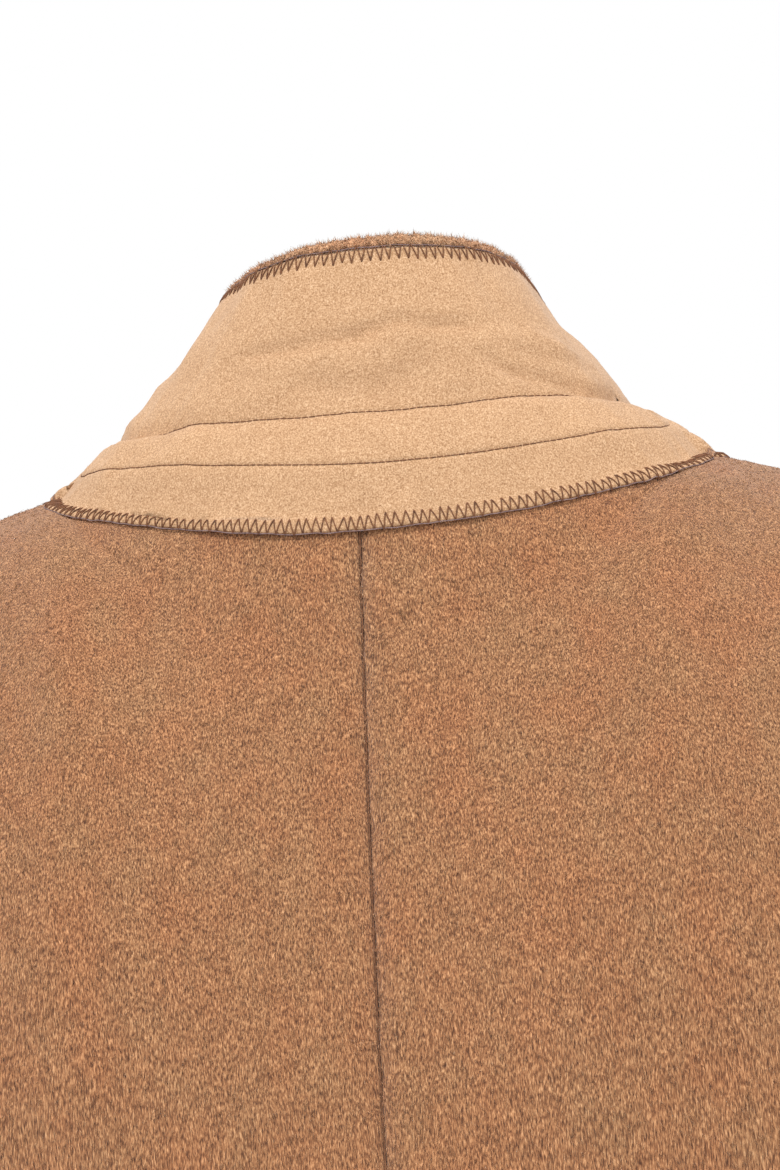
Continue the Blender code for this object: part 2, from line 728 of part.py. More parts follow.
def hole_cutter(name):
    """Four upright pins, where the thread passes through a button."""
    points, faces = [], []
    for sx in (-1, 1):
        for sy in (-1, 1):
            base = len(points)
            for z in HOLE_ENDS:
                for k in range(HOLE_SIDES):
                    a = 2 * math.pi * k / HOLE_SIDES
                    x = sx * HOLE_OFFSET + HOLE_RADIUS * math.cos(a)
                    points.append((x, sy * HOLE_OFFSET + HOLE_RADIUS * math.sin(a), z))
            far = base + HOLE_SIDES
            for k in range(HOLE_SIDES):
                following = (k + 1) % HOLE_SIDES
                faces.append((base + k, base + following, far + following, far + k))
            faces.append([base + k for k in range(HOLE_SIDES - 1, -1, -1)])
            faces.append([far + k for k in range(HOLE_SIDES)])
    mesh = bpy.data.meshes.new(name)
    mesh.from_pydata(points, [], faces)
    cutter = bpy.data.objects.new(name, mesh)
    cutter.hide_render = True
    cutter.display_type = "WIRE"
    bpy.context.scene.collection.objects.link(cutter)
    return cutter


def button_seat(z):
    """(place, outward direction) of a button on the left front, clear of the cloth's curve."""
    offsets = np.array([(0, 0), (1, 0), (-1, 0), (0, 1), (0, -1)]) * BUTTON_RADIUS
    points = drape(lay_over(front_at(offsets[:, 0], z + offsets[:, 1]), 1))
    out = unit(np.cross(points[3] - points[4], points[1] - points[2]))
    out = out if out[1] < 0 else -out
    highest = max((points - points[0]) @ out)
    return points[0] + out * (highest + BUTTON_GAP), out


def make_buttons(finish):
    for number, z in enumerate(BUTTON_HEIGHTS, start=1):
        button = lathe(f"button_{number}", BUTTON_PROFILE, BUTTON_SIDES, finish)
        cutter = hole_cutter(f"holes_{number}")
        place, out = button_seat(z)
        tip = math.atan2(out[2], -out[1])
        turn = math.atan2(out[0], -out[1])
        for shape in (button, cutter):
            shape.rotation_euler = (math.pi / 2 - tip, 0, turn)
            shape.location = place
        cut = button.modifiers.new("thread_holes", "BOOLEAN")
        cut.object = cutter
        cut.solver = "EXACT"


def main():
    for existing in list(bpy.data.objects):
        bpy.data.objects.remove(existing)
    wool = material("camel_wool", (0.45, 0.205, 0.100), 0.95)
    felt = material("tan_felt", (0.75, 0.46, 0.27), 0.95)
    horn = material("brown_horn", (0.09, 0.045, 0.025), 0.35)
    for side, word in ((1, "left"), (-1, "right")):
        make_back(side, f"back_{word}", wool)
        make_front(side, f"front_{word}", wool)
        make_lapel(side, f"lapel_{word}", wool)
        make_sleeve(side, (f"top_sleeve_{word}", f"under_sleeve_{word}"), wool)
    make_undercollar(felt)
    make_top_collar(wool)
    make_buttons(horn)


main()
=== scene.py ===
"""The looks of the wool topcoat: cloth, stitching, nap, light and camera, on the solids' own form.

Metres, +Z up, in the solids' frame: the front faces -Y and the wearer's left is +X. Every panel is
drawn from the same tables as its solid, on a finer grid, with its creases and its nap.
"""

import math
from functools import partial

import bpy
import numpy as np
from mathutils import Matrix, Vector
from mathutils.bvhtree import BVHTree


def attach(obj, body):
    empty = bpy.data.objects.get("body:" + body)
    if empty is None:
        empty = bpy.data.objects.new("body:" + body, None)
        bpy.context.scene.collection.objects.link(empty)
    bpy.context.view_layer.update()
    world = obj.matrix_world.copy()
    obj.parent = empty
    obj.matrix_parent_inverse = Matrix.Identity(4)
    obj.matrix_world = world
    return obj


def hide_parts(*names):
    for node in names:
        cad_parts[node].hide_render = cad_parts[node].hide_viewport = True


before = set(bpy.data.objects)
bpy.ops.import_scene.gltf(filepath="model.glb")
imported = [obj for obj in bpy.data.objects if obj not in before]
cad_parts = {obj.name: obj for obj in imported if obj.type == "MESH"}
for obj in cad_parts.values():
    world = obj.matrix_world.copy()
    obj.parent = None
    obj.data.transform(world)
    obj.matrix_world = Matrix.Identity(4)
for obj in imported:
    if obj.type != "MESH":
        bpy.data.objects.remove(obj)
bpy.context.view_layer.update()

# Cloth thicknesses and the gaps between pieces
WOOL = 0.0024
FELT = 0.0015
COLLAR_WOOL = 0.0022
LAYER_GAP = 0.0004

# Body
UNDERARM_Z = -0.240
PLAN_POWER = 2.4
BODY = (
    ("height", "half_width", "back_depth", "front_depth"),
    (-1.0, 0.262, 0.165, 0.16), (-0.8, 0.248, 0.15, 0.149), (-0.62, 0.234, 0.136, 0.137),
    (-0.44, 0.213, 0.115, 0.124), (-0.33, 0.219, 0.117, 0.131), (-0.24, 0.228, 0.119, 0.135),
)
HEM_Z = -1.0

# Shoulders and neck
NECK_HALF_WIDTH = 0.0970
NECK_DEPTH = 0.060
NECK_DROP = 0.0150
NECK_DROP_POWER = 1.5
SHOULDER_TIP_X = 0.232
SHOULDER_SLOPE = math.tan(math.radians(19.8))
SHOULDER_START_X = 0.085
SHOULDER_SOFTNESS = 0.020
YOKE_HALF_WIDTH = 0.250
YOKE_SPREAD_END = 0.5
NECK_SHARE = 0.30
CORNER_REACH = 0.9
CORNER_ROUNDED_CLIMB = 0.80
CORNER_OFFSETS = np.array((-1.0, -0.5, 0.0, 0.5, 1.0))
CORNER_WEIGHTS = np.array((1.0, 2.0, 3.0, 2.0, 1.0)) / 9.0
ARMHOLE = (
    ("climb", "back_x", "front_x"),
    (0.0, 0.228, 0.228), (0.04, 0.2205, 0.219), (0.11, 0.2135, 0.209), (0.3, 0.206, 0.198),
    (0.55, 0.2045, 0.197), (0.8, 0.215, 0.211), (1.0, 0.232, 0.232),
)
# How a section bends over from the shoulder blade: the height share of its first control point,
# then the depth and height shares of its second
NECK_BEND = (0.30, 0.45, 0.72)
SHOULDER_BEND = (0.55, 0.50, 1.00)

# Front opening
BUTTON_STAND = 0.025
ROLL_BREAK_Z = -0.262
ROLL_TOP_X = 0.088
ROLL_TOP_Z = -0.045
GORGE_CLIMB = 0.535
OVERLAP_STEP = 0.0018
OVERLAP_FULL_X = 0.030
OVERLAP_END_X = 0.080

# Soft upright folds of the skirt: (number round the body, depth, phase)
SKIRT_FOLDS = ((5, 0.0050, 0.6), (8, 0.0034, 2.1), (13, 0.0012, 0.3))
SKIRT_FADE = (-0.46, -1.00)
FRONT_CALM = (0.030, 0.110)

# Collar, one row for each station from the centre back to the front end
COLLAR_LAP = 0.0045
CORNER_SPAN = 0.06
BACK_SHARE = 0.60
CHEST_MIDDLE = np.array((0.0, 0.0, -0.2))
NECK_MIDDLE = np.array((0.0, -0.02, 0.05))
COLLAR = (
    ("station", "roll_x", "roll_y", "roll_z", "edge_x", "edge_y", "edge_z"),
    (0.0, 0.0, 0.053, 0.0205, 0.0, 0.046, 0.0671), (0.15, 0.0275, 0.05, 0.0203, 0.0178, 0.0428, 0.0666),
    (0.3, 0.051, 0.0405, 0.0192, 0.033, 0.031, 0.064), (0.45, 0.0703, 0.0245, 0.0175, 0.0432, 0.011, 0.059),
    (0.6, 0.0788, 0.0, 0.0155, 0.0465, -0.015, 0.052), (0.8, 0.0795, -0.052, 0.001, 0.05, -0.074, 0.03),
    (1.0, 0.079, -0.097, -0.044, 0.07, -0.127, -0.001),
)
ROLL_SWAY = 0.0012
EDGE_SWAY = -0.0022
STAND_BULGE = 0.0022
STAND_BULGE_SIDE = 0.0027
STAND_BULGE_POWER = 0.8
SIDE_REACH = (0.15, 0.50)
END_START = 0.80
FALL_BULGE = 0.0012
CREASE_TUCK = 0.0014
FOOT_STEPS = (0.0, 0.24, 0.48, 0.74, 1.0)
STAND_STEPS = (0.72, 0.89)
STAND_MIDDLE = 0.5
FALL_STEPS = (0.0, 0.16, 0.36, 0.58, 0.80, 1.0)

# Lapels
LAPEL_POINT = (0.141, -0.112)
LAPEL_BELLY = (0.0036, -0.0048)
LAPEL_LIFT = 0.0040
LAPEL_LIFT_SHARE = 0.7
LAPEL_HIDDEN_MOST = 0.9
LAPEL_OVERHANG = 0.0015
LAPEL_DROP = 0.0035
RIGHT_LAPEL_START = 0.24
LAPEL_CLEARANCE = 0.003

# Sleeves
FRONT_SEAM = 63
BACK_SEAM = 12
SLEEVE = (
    ("height", "middle_x", "middle_y", "half_x", "half_y"),
    (-0.686, 0.336, -0.048, 0.046, 0.052), (-0.62, 0.332, -0.034, 0.049, 0.055),
    (-0.55, 0.327, -0.02, 0.052, 0.059), (-0.47, 0.32, -0.008, 0.055, 0.064),
    (-0.41, 0.314, -0.003, 0.057, 0.068), (-0.34, 0.306, -0.002, 0.0585, 0.0715),
    (-0.266, 0.298, -0.002, 0.059, 0.0745),
)
SLEEVE_RINGS = 11
CAP_OUT = 0.62
CAP_DOWN = 0.95
CAP_ROLL = -0.20
CAP_UNDERARM = 0.35
SLEEVE_START = 0.0008
EDGE_SAMPLES = 200

# Buttons
BUTTON_HEIGHTS = (-0.287, -0.402, -0.517)
BUTTON_RADIUS = 0.0125
BUTTON_GAP = 0.0006
HOLE_OFFSET = 0.0022

SMALL = 1e-4
CLIMB_SAMPLES = 400

# Fineness of the drawn cloth
BACK_COLUMNS = 73
FRONT_COLUMNS = 49
PANEL_LOWER_ROWS = 70
PANEL_UPPER_ROWS = 90
EDGE_ROUND = 0.35
SEAM_OVER = 0.00015
COLLAR_FINE = 241
ROLL_ROW = 7
DENSE_BAND = 0.0013
TOP_BAND = 0.003
FELT_SPANS = (12, 9, 9, 9, 24, 6)
RIM_THIN = 2
LAPEL_FINE_ROWS = 50
LAPEL_FINE_COLUMNS = 26
SLEEVE_FINE_SIDES = 72
CAP_FINE_ROWS = tuple(np.linspace(0, 0.96, 22))
SLEEVE_FINE_RINGS = 64

# The cloth's own unevenness
WOOL_SWELL = 0.00022
SWELL_LEAN = 0.7
FELT_SWELL = 0.00030
SEAM_SINK = 0.0011
SEAM_WIDTH = 0.0016
SEAM_PUCKER = 0.35
# Waves of the wool, the seams, the felt, the rim and the lilac edge lines: (how many, shortest, longest)
WOOL_WAVES = (14, 0.006, 0.040)
SEAM_WAVES = (6, 0.006, 0.020)
FELT_WAVES = (16, 0.008, 0.045)
RIM_WAVES = (10, 0.0030, 0.0080)
EDGE_LINE_WAVES = (8, 0.004, 0.03)
# Metres along the collar for one station
STATION_LENGTH = 0.26
# Radius of the dark line at the bottom of the centre back seam: a painted shadow of the seam's groove
SEAM_SHADOW_LINE = 0.00022
HEAD_TUCK = 0.0048
# Creases inside the elbow: depth, height, reach up and down, reach round the arm, pitch
ELBOW_CREASE = 0.0016
ELBOW_Z = -0.45
ELBOW_REACH = 0.05
ELBOW_ROUND = 0.06
ELBOW_PITCH = 0.030

# The shoulders stand a little higher here than in the solids: (left, right), near (|x|, y), over (x, y)
SHOULDER_LIFTS = (0.0049, 0.0020)
SHOULDER_PLACE = (0.115, 0.01)
SHOULDER_SPREAD = (0.04, 0.04)

# The felt lies closer on the wool here than its solid does, and its lower edge is pressed flat
FELT_LAP = 0.0003
EDGE_PRESS = 0.0007
EDGE_THIN = 0.8
EDGE_PRESS_WAY = 0.0016
TOP_COLLAR_START_WAY = 0.0065

# How far up the felt is seated on the wool, where that has faded out, and the stations where it ends
SEAT_WAY = 0.004
SEAT = (
    ("station", "height"),
    (-1.0, 0.0015), (-0.8, 0.0013), (-0.68, 0.0006), (-0.52, 0.0008), (-0.36, 0.0015), (0.36, 0.0015),
    (0.5, 0.0008), (0.66, 0.0005), (0.8, 0.0013), (1.0, 0.0015),
)
SEAT_FADE_WAY = 0.018
SEAT_STATIONS = (0.86, 0.70)

# Stitch rows of the felt, in metres up from its lower edge, and the fold between stand and fall
STAND_ROW = (
    ("station", "way"),
    (-1.0, 0.0115), (-0.62, 0.0135), (-0.49, 0.0163), (-0.458, 0.0171), (-0.433, 0.0177), (-0.36, 0.0187),
    (-0.28, 0.0187), (-0.2, 0.0188), (-0.1, 0.019), (0.0, 0.0194), (0.07, 0.0202), (0.15, 0.0205),
    (0.25, 0.0206), (0.325, 0.0198), (0.367, 0.0191), (0.417, 0.0178), (0.45, 0.0167), (0.492, 0.0147),
    (0.62, 0.0125), (1.0, 0.0115),
)
CREASE_ROW = (
    ("station", "way"),
    (-1.0, 0.0235), (-0.62, 0.0308), (-0.52, 0.033), (-0.45, 0.0348), (-0.38, 0.0354), (-0.3, 0.035),
    (-0.2, 0.0346), (-0.1, 0.0347), (0.0, 0.0348), (0.1, 0.0345), (0.2, 0.0343), (0.3, 0.0343),
    (0.36, 0.0334), (0.42, 0.0322), (0.55, 0.0292), (1.0, 0.0235),
)
FOLD = (
    ("station", "lift", "lip"),
    (-1.0, 0.0, 0.0), (-0.8, -0.0008, 0.0003), (-0.6, -0.0004, 0.0008), (-0.45, 0.0024, 0.001),
    (-0.3, 0.003, 0.0003), (-0.15, 0.0014, 0.0), (0.0, 0.0012, 0.0), (0.15, 0.001, 0.0),
    (0.3, 0.0018, 0.0003), (0.42, 0.0017, 0.0007), (0.6, 0.0008, 0.0005), (0.8, 0.0003, 0.0002),
    (1.0, 0.0, 0.0),
)
# Lifts of the felt's lower edge and of its top edge, and the ways over which they fade
EDGE_LIFTS = (
    ("station", "edge", "top"),
    (-1.0, 0.0, 0.0), (-0.75, 0.0, 0.0003), (-0.6, -0.0022, 0.0012), (-0.48, -0.0026, 0.0026),
    (-0.36, 0.0, 0.0026), (-0.2, 0.0, 0.0018), (0.0, 0.0, 0.0014), (0.12, 0.0003, 0.001),
    (0.2, 0.0018, 0.0004), (0.3, 0.0026, 0.0), (0.4, 0.002, 0.0), (0.5, -0.001, 0.0), (0.62, -0.0024, 0.0),
    (0.8, 0.0, 0.0), (1.0, 0.0, 0.0),
)
EDGE_FADE_WAY = 0.013
TOP_FADE_WAYS = (0.045, 0.080)
# How far the fold's lift reaches, and its lip below the crease row and its dip above it
FOLD_SPREAD = 0.011
LIP_BELOW = 0.0036
LIP_WIDTH = 0.0026
DIP_ABOVE = 0.0010
DIP_WIDTH = 0.0022
# Where the stitch rows lie deeper, round the sides: (station, extra depth)
HIDDEN_STAND_ROW = (
    (-0.72, 0.0), (-0.64, 0.0003), (-0.55, 0.0003), (-0.51, 0.0), (0.53, 0.0), (0.57, 0.0003),
    (0.64, 0.0003), (0.72, 0.0),
)
HIDDEN_CREASE_ROW = (
    (-0.66, 0.0), (-0.58, 0.0003), (-0.44, 0.0003), (-0.38, 0.0), (0.33, 0.0), (0.38, 0.0003),
    (0.58, 0.0003), (0.66, 0.0),
)
# Channels and stitches of those rows
CHANNEL = 0.0004
CHANNEL_WIDTH = 0.0007
ROW_PITCH = 0.0021
STAND_ROW_END = 0.72
CREASE_ROW_END = 0.82
THREAD = 0.00021
ROW_THREAD = 0.00015
THREAD_SIDES = 5
SEARCH_STATIONS = 700
# How a stitch arches over the cloth: (share of its length, lift)
STITCH_ARCH = ((0.0, -0.0002), (0.15, 0.0001), (0.5, 0.0002), (0.85, 0.0001), (1.0, -0.0002))

# Zigzag edging: pitch, how far its points stand from the felt's edges, and how far they stray
ZIGZAG_PITCH = 0.00262
ZIGZAG_HIGH = 0.0046
ZIGZAG_LOW = -0.0002
TOP_ZIGZAG_IN = 0.0041
TOP_ZIGZAG_OVER = 0.0011
ZIGZAG_STRAY = 0.00022
ZIGZAG_DRIFT = 0.0008
OFF_EDGE_DROP = 1.6
ZIGZAG_LIFT = 0.0001
EDGE_LINE_RADIUS = 0.00016
EDGE_STRAY = 0.00015
EDGING_END = 0.99
EDGE_STATIONS = 400

# Creases of the felt: width across, lift out of the face, (station, share of the way up) along the line
FALL_HEIGHT = 0.08
CREASE_FADE = 0.05
CREASES = (
    (0.0017, -0.0018, ((-0.24, 0.714), (-0.16, 0.715), (-0.09, 0.738), (0.0, 0.704))),
    (0.0018, -0.0016, ((-0.03, 0.697), (0.05, 0.692), (0.13, 0.668), (0.22, 0.665))),
    (0.0026, 0.0014, ((-0.42, 0.623), (-0.35, 0.653), (-0.28, 0.678))),
    (0.0024, 0.0012, ((-0.48, 0.595), (-0.41, 0.647), (-0.34, 0.698))),
    (0.0024, -0.0019, ((-0.41, 0.465), (-0.34, 0.498), (-0.29, 0.524), (-0.24, 0.6))),
    (0.005, -0.0016, ((-0.12, 0.54), (0.0, 0.51), (0.1, 0.53))),
    (0.004, -0.0007, ((0.16, 0.56), (0.22, 0.6), (0.27, 0.61))),
    (0.0026, 0.0005, ((0.44, 0.6), (0.55, 0.63), (0.66, 0.665))),
    (0.003, -0.0006, ((0.5, 0.52), (0.62, 0.535), (0.72, 0.58))),
    (0.0085, 0.0014, ((0.45, 0.45), (0.6, 0.445), (0.75, 0.45))),
    (0.009, -0.0009, ((0.5, 0.11), (0.62, 0.11), (0.76, 0.11))),
    (0.014, -0.0012, ((0.42, 0.8), (0.6, 0.8), (0.78, 0.8))),
    (0.011, -0.0022, ((-0.78, 0.83), (-0.6, 0.83), (-0.46, 0.83))),
    (0.003, -0.0009, ((0.7, 0.73), (0.78, 0.7), (0.88, 0.69))),
    (0.003, -0.0018, ((-0.86, 0.56), (-0.74, 0.58), (-0.64, 0.64))),
    (0.0024, 0.0005, ((-0.7, 0.71), (-0.62, 0.74), (-0.54, 0.735))),
)

# Nap: how many fibres each piece has, how they lie, and their own sizes
NAP_BACK = 41000
NAP_FRONT = 8000
NAP_RIM = 34000
NAP_FELT = 18000
# (length, width, rise, fan of their headings)
WOOL_NAP = (0.0026, 0.00025, 0.00035, 0.32)
RIM_NAP = (0.0013, 0.00028, 0.0009, math.pi)
FELT_NAP = (0.0012, 0.00014, 0.00022, math.pi)
# Least and most shares of those sizes
NAP_LENGTHS = (0.55, 1.35)
NAP_WIDTHS = (0.6, 1.25)
NAP_RISES = (0.1, 1.9)
NAP_SINK = 0.0002
NAP_RIDGE = 1.6
NAP_REACH_X = (0.17, 0.115)
NAP_REACH_Z = (-0.26, -0.20)

# Seeds. A panel's are those of its swell, its nap's places and its nap's fibres
BACK_SEEDS = (3, 60, 70)
FRONT_SEEDS = (13, 80, 90)
RIM_NAP_SEEDS = (101, 102)
FELT_NAP_SEEDS = (103, 104)
SEAM_SEED = 50
SLEEVE_SEED = 40
FELT_SEED = 5
RIM_SEED = 61
EDGE_LINE_SEED = 31
ZIGZAG_SEED = 17

# Flat cuts, as (width, length) with their seam allowances, and how much larger a cut is than its net shape
BACK_CUT = (0.38, 1.09)
FRONT_CUT = (0.42, 1.09)
LEFT_LAPEL_CUT = (0.13, 0.28)
RIGHT_LAPEL_CUT = (0.13, 0.24)
SLEEVE_CUTS = ((0.36, 0.72), (0.18, 0.56))
FELT_CUT = (0.62, 0.13)
TOP_COLLAR_CUT = (0.64, 0.13)
CUT_ALLOWANCE = 1.06

# The rim's height by station, as a share of the rises in RIM_FINE
RIM_SHARE = (
    ("station", "share"),
    (-1.0, 1.0), (-0.5, 1.05), (-0.3, 1.05), (0.0, 1.0), (0.2, 0.8), (0.4, 0.6), (0.6, 0.8), (1.0, 1.0),
)
# (rise over the felt's top edge, outer inset, inner inset)
RIM_FINE = (
    (0.0003, 0.0009, 0.0041), (0.0009, 0.0004, 0.0041), (0.0016, 0.0001, 0.004), (0.0023, 0.0001, 0.0037),
    (0.0029, 0.0005, 0.0033), (0.0034, 0.0013, 0.0027),
)
RIM_SWELL = 0.00035
# The felt's row from which the rim's way up is measured to the last one
RIM_UP_ROW = -4

# Buttons: their thread, and (radius, height over the seat) of their profile
BUTTON_THREAD = 0.00045
BUTTON_THREAD_SIDES = 6
BUTTON_HOLE_UP = 0.0023
BUTTON_CROSS_UP = 0.0029
BUTTON_CROSS_WIDTH = 0.0002
BUTTON_THREAD_ARCH = 0.0003
BUTTON_FINE_SIDES = 64
BUTTON_FINE_PROFILE = (
    (0.0002, 0.0022), (0.0074, 0.0022), (0.008, 0.0023), (0.0086, 0.0029), (0.0094, 0.0035),
    (0.0105, 0.0037), (0.0115, 0.0035), (0.0123, 0.0029), (0.0125, 0.0022), (0.0122, 0.0013),
    (0.0112, 0.0002), (0.006, 0.0001),
)

# Colours: (place on the grain's scale, sRGB)
WOOL_STOPS = ((0.30, (76, 44, 26)), (0.45, (134, 88, 56)), (0.57, (172, 121, 81)), (0.72, (212, 160, 115)))
# The nap's fibres: the wool's own spread of tones, drawn lighter than the cloth beneath them; the extra
# lightness is painted light on the raised fibres
NAP_STOPS_WITH_PAINTED_LIGHT = ((0.33, (108, 66, 40)), (0.47, (162, 111, 73)), (0.57, (192, 139, 96)), (0.70, (238, 190, 145)))
# The top collar's wool: the same wool as the coat, drawn lighter; painted light that offsets the shade on the
# rim's top edge
RIM_PAINTED_LIGHT_STOPS = ((0.30, (156, 106, 72)), (0.50, (208, 156, 115)), (0.70, (242, 198, 158)))
FELT_STOPS = ((0.31, (146, 108, 75)), (0.5, (190, 150, 113)), (0.69, (224, 188, 152)))

HORN_STOPS = ((0.3, (58, 36, 26)), (0.7, (96, 62, 44)))
BROWN_STOPS = ((0.3, (84, 50, 30)), (0.7, (132, 86, 54)))
LILAC_STOPS = ((0.3, (102, 80, 80)), (0.7, (150, 126, 122)))
FLOOR_STOPS = ((0.3, (238, 238, 238)), (0.7, (244, 244, 244)))

# Grains: (their sizes along x, y and z, detail, roughness)
HORN_GRAIN = ((0.004,) * 3, 2.0, 0.6)
BROWN_GRAIN = ((0.0011,) * 3, 2.0, 0.6)
LILAC_GRAIN = ((0.0012,) * 3, 2.0, 0.6)
FLOOR_GRAIN = ((0.4,) * 3, 2.0, 0.6)
WOOL_GRAIN = ((0.00036, 0.00036, 0.0030), 2.0, 0.6)
NAP_GRAIN = ((0.00030, 0.00030, 0.0036), 2.0, 0.6)
RIM_GRAIN = ((0.00040, 0.00040, 0.00060), 2.0, 0.6)
FELT_GRAIN = ((0.00045, 0.00045, 0.00050), 3.0, 0.7)

# Casts over the colour: (grain, (place on its scale, factors of red, green and blue))
WOOL_CASTS = (
    (((0.0012, 0.0012, 0.0034), 2.0, 0.5), ((0.30, (0.88, 0.87, 0.86)), (0.70, (1.10, 1.11, 1.12)))),
    (((0.018, 0.018, 0.030), 3.0, 0.55), ((0.34, (1.015, 0.955, 0.925)), (0.66, (0.985, 1.04, 1.065)))),
)
FELT_CASTS = ((((0.012,) * 3, 3.0, 0.55), ((0.3, (0.965, 0.955, 0.945)), (0.7, (1.03, 1.03, 1.03)))),)

# Shader inputs, and (strength, distance) of the bump
WOOL_SURFACE = {"Roughness": 0.95, "Specular IOR Level": 0.15, "Sheen Weight": 0.2, "Sheen Roughness": 0.6}
FELT_SURFACE = {"Roughness": 0.92, "Specular IOR Level": 0.15, "Sheen Weight": 0.15}
HORN_SURFACE = {"Roughness": 0.3}
THREAD_SURFACE = {"Roughness": 0.8}
FLOOR_SURFACE = {"Roughness": 0.9}
WOOL_BUMP = (0.8, 0.0005)
FELT_BUMP = (0.5, 0.0003)

# Numbers of the mix node's colour sockets, whose names its other sockets have too
MIX_FACTOR = 0
MIX_FIRST = 6
MIX_SECOND = 7
MIX_RESULT = 2

# Stage and camera
FLOOR_Z = -1.53
FLOOR_RADIUS = 6.0
FLOOR_SIDES = 96
# The world's light by direction: (axis, (place, strength) at both ends)
WORLD = (("Y", (0.10, 1.0), (0.60, 0.62)), ("Z", (0.45, 0.0), (0.90, 0.38)))
# (name, place, aim, size, power)
LIGHTS = (
    ("key", (0.3, 1.9, 2.5), (0.0, 0.0, -0.1), 1.0, 72.0),
    ("fill", (-2.2, 2.2, 0.4), (0.0, 0.0, -0.1), 1.8, 14.0),
    ("front", (0.6, -3.0, 1.2), (0.0, 0.0, -0.3), 2.0, 18.0),
)
CAMERA_AZIMUTH = math.radians(187.4)
CAMERA_ROLL = math.radians(4.6)
CAMERA_DISTANCE = 2.0
CAMERA_TARGET = (0.0, 0.0644, -0.0129)
AIM_RIGHT = 0.0079
AIM_UP = -0.0161
FRAME_HEIGHT = 0.3343
SENSOR_HEIGHT = 36.0
FARTHEST = 50.0


# ---- Curves and tables


def smooth_curve(knots, values, at):
    """A smooth curve through the knots, read at the given places."""
    slopes = np.gradient(values, knots)
    at = np.clip(at, knots[0], knots[-1])
    k = np.clip(np.searchsorted(knots, at, side="right") - 1, 0, len(knots) - 2)
    span = knots[k + 1] - knots[k]
    t = (at - knots[k]) / span
    start = (1 + 2 * t) * (1 - t) ** 2 * values[k] + t * (1 - t) ** 2 * span * slopes[k]
    end = t**2 * (3 - 2 * t) * values[k + 1] + t**2 * (t - 1) * span * slopes[k + 1]
    return start + end


def from_table(table, name, at):
    """The named column as a smooth curve over the first one. A table's first row names its columns."""
    rows = np.array(table[1:])
    return smooth_curve(rows[:, 0], rows[:, table[0].index(name)], at)


def ramp(start, end, at):
    t = np.clip((at - start) / (end - start), 0.0, 1.0)
    return t * t * (3 - 2 * t)


def hill(away, width):
    return np.exp(-((away / width) ** 2))


def unit(vectors):
    return vectors / np.linalg.norm(vectors, axis=-1, keepdims=True)


def turns(count):
    """Angles of evenly spaced places round a ring."""
    return 2 * math.pi * np.arange(count) / count


# ---- The worn form


def drape(points):
    """Adds the soft upright folds of the skirt."""
    x, y, z = points[..., 0], points[..., 1], points[..., 2]
    round_angle = np.arctan2(x, y)
    swell = sum(depth * np.cos(count * round_angle + phase) for count, depth, phase in SKIRT_FOLDS)
    swell = swell * ramp(*SKIRT_FADE, z) * np.where(y < 0, ramp(*FRONT_CALM, np.abs(x)), 1.0)
    radius = np.hypot(x, y) + SMALL
    return np.stack([x + swell * x / radius, y + swell * y / radius, z], axis=-1)


def shoulder_z(x):
    """Height of the shoulder seam, with a soft start beside the neck."""

    def soft(t):
        return (t + np.sqrt(t * t + SHOULDER_SOFTNESS**2)) / 2

    neck = soft(NECK_HALF_WIDTH - SHOULDER_START_X)
    return -SHOULDER_SLOPE * (soft(np.abs(x) - SHOULDER_START_X) - neck)


def section_depth(x, half_width, depth):
    across = np.clip(np.abs(x) / half_width, 0.0, 1.0)
    return depth * (1 - across**PLAN_POWER) ** (1 / PLAN_POWER)


def bend(climb, lift, depth_share, height_share):
    """(depth, height) shares along a section that rises upright and bends over at its top."""
    down = 1 - climb
    first, second, third = 3 * down**2 * climb, 3 * down * climb**2, climb**3
    return down**3 + first + second * depth_share, first * lift + second * height_share + third


def yoke_half_width(climb):
    spread = ramp(0.0, YOKE_SPREAD_END, climb)
    underarm = from_table(BODY, "half_width", UNDERARM_Z)
    return underarm + (YOKE_HALF_WIDTH - underarm) * spread


def spread_of(u):
    return np.sin(np.clip(u, 0, 1) * math.pi / 2) ** (2 / PLAN_POWER)


def back_lower(u, z):
    """A point of the back below the underarm. u runs from the centre to the side seam."""
    half_width, depth = (from_table(BODY, name, z) for name in ("half_width", "back_depth"))
    angle = u * math.pi / 2
    x = half_width * np.sin(angle) ** (2 / PLAN_POWER)
    return np.stack([x, depth * np.cos(angle) ** (2 / PLAN_POWER), z + 0 * x], axis=-1)


def back_top(u):
    """(x, y) of the back's upper edge: round the neck, then straight along the shoulder."""
    neck = np.clip(u / NECK_SHARE, 0, 1) * math.pi / 2
    outside = np.clip((u - NECK_SHARE) / (1 - NECK_SHARE), 0, 1)
    x = NECK_HALF_WIDTH * np.sin(neck) + outside * (SHOULDER_TIP_X - NECK_HALF_WIDTH)
    return x, NECK_DEPTH * np.cos(neck)


def back_upper(u, climb):
    """A point of the back above the underarm. u runs from the centre to the armhole."""
    neck = np.clip(u / NECK_SHARE, 0, 1)
    reach = CORNER_REACH * u * (1 - u) * ramp(1.0, CORNER_ROUNDED_CLIMB, climb)
    nearby = [back_top(u + reach * offset) for offset in CORNER_OFFSETS]
    top_x, top_y = [sum(w * place[k] for w, place in zip(CORNER_WEIGHTS, nearby)) for k in (0, 1)]
    edge = from_table(ARMHOLE, "back_x", climb)
    share = spread_of(u) * (1 - climb) + climb * top_x / SHOULDER_TIP_X
    x = share * edge
    top_z = shoulder_z(x) - NECK_DROP * np.cos(neck * math.pi / 2) ** NECK_DROP_POWER
    bent = ramp(0.0, 1.0, neck)
    controls = [start + (end - start) * bent for start, end in zip(NECK_BEND, SHOULDER_BEND)]
    depth_share, height_share = bend(climb, *controls)
    deepest = from_table(BODY, "back_depth", UNDERARM_Z)
    full = section_depth(x, yoke_half_width(climb), deepest)
    y = top_y + (full - top_y) * depth_share
    return np.stack([x, y, UNDERARM_Z + (top_z - UNDERARM_Z) * height_share], axis=-1)


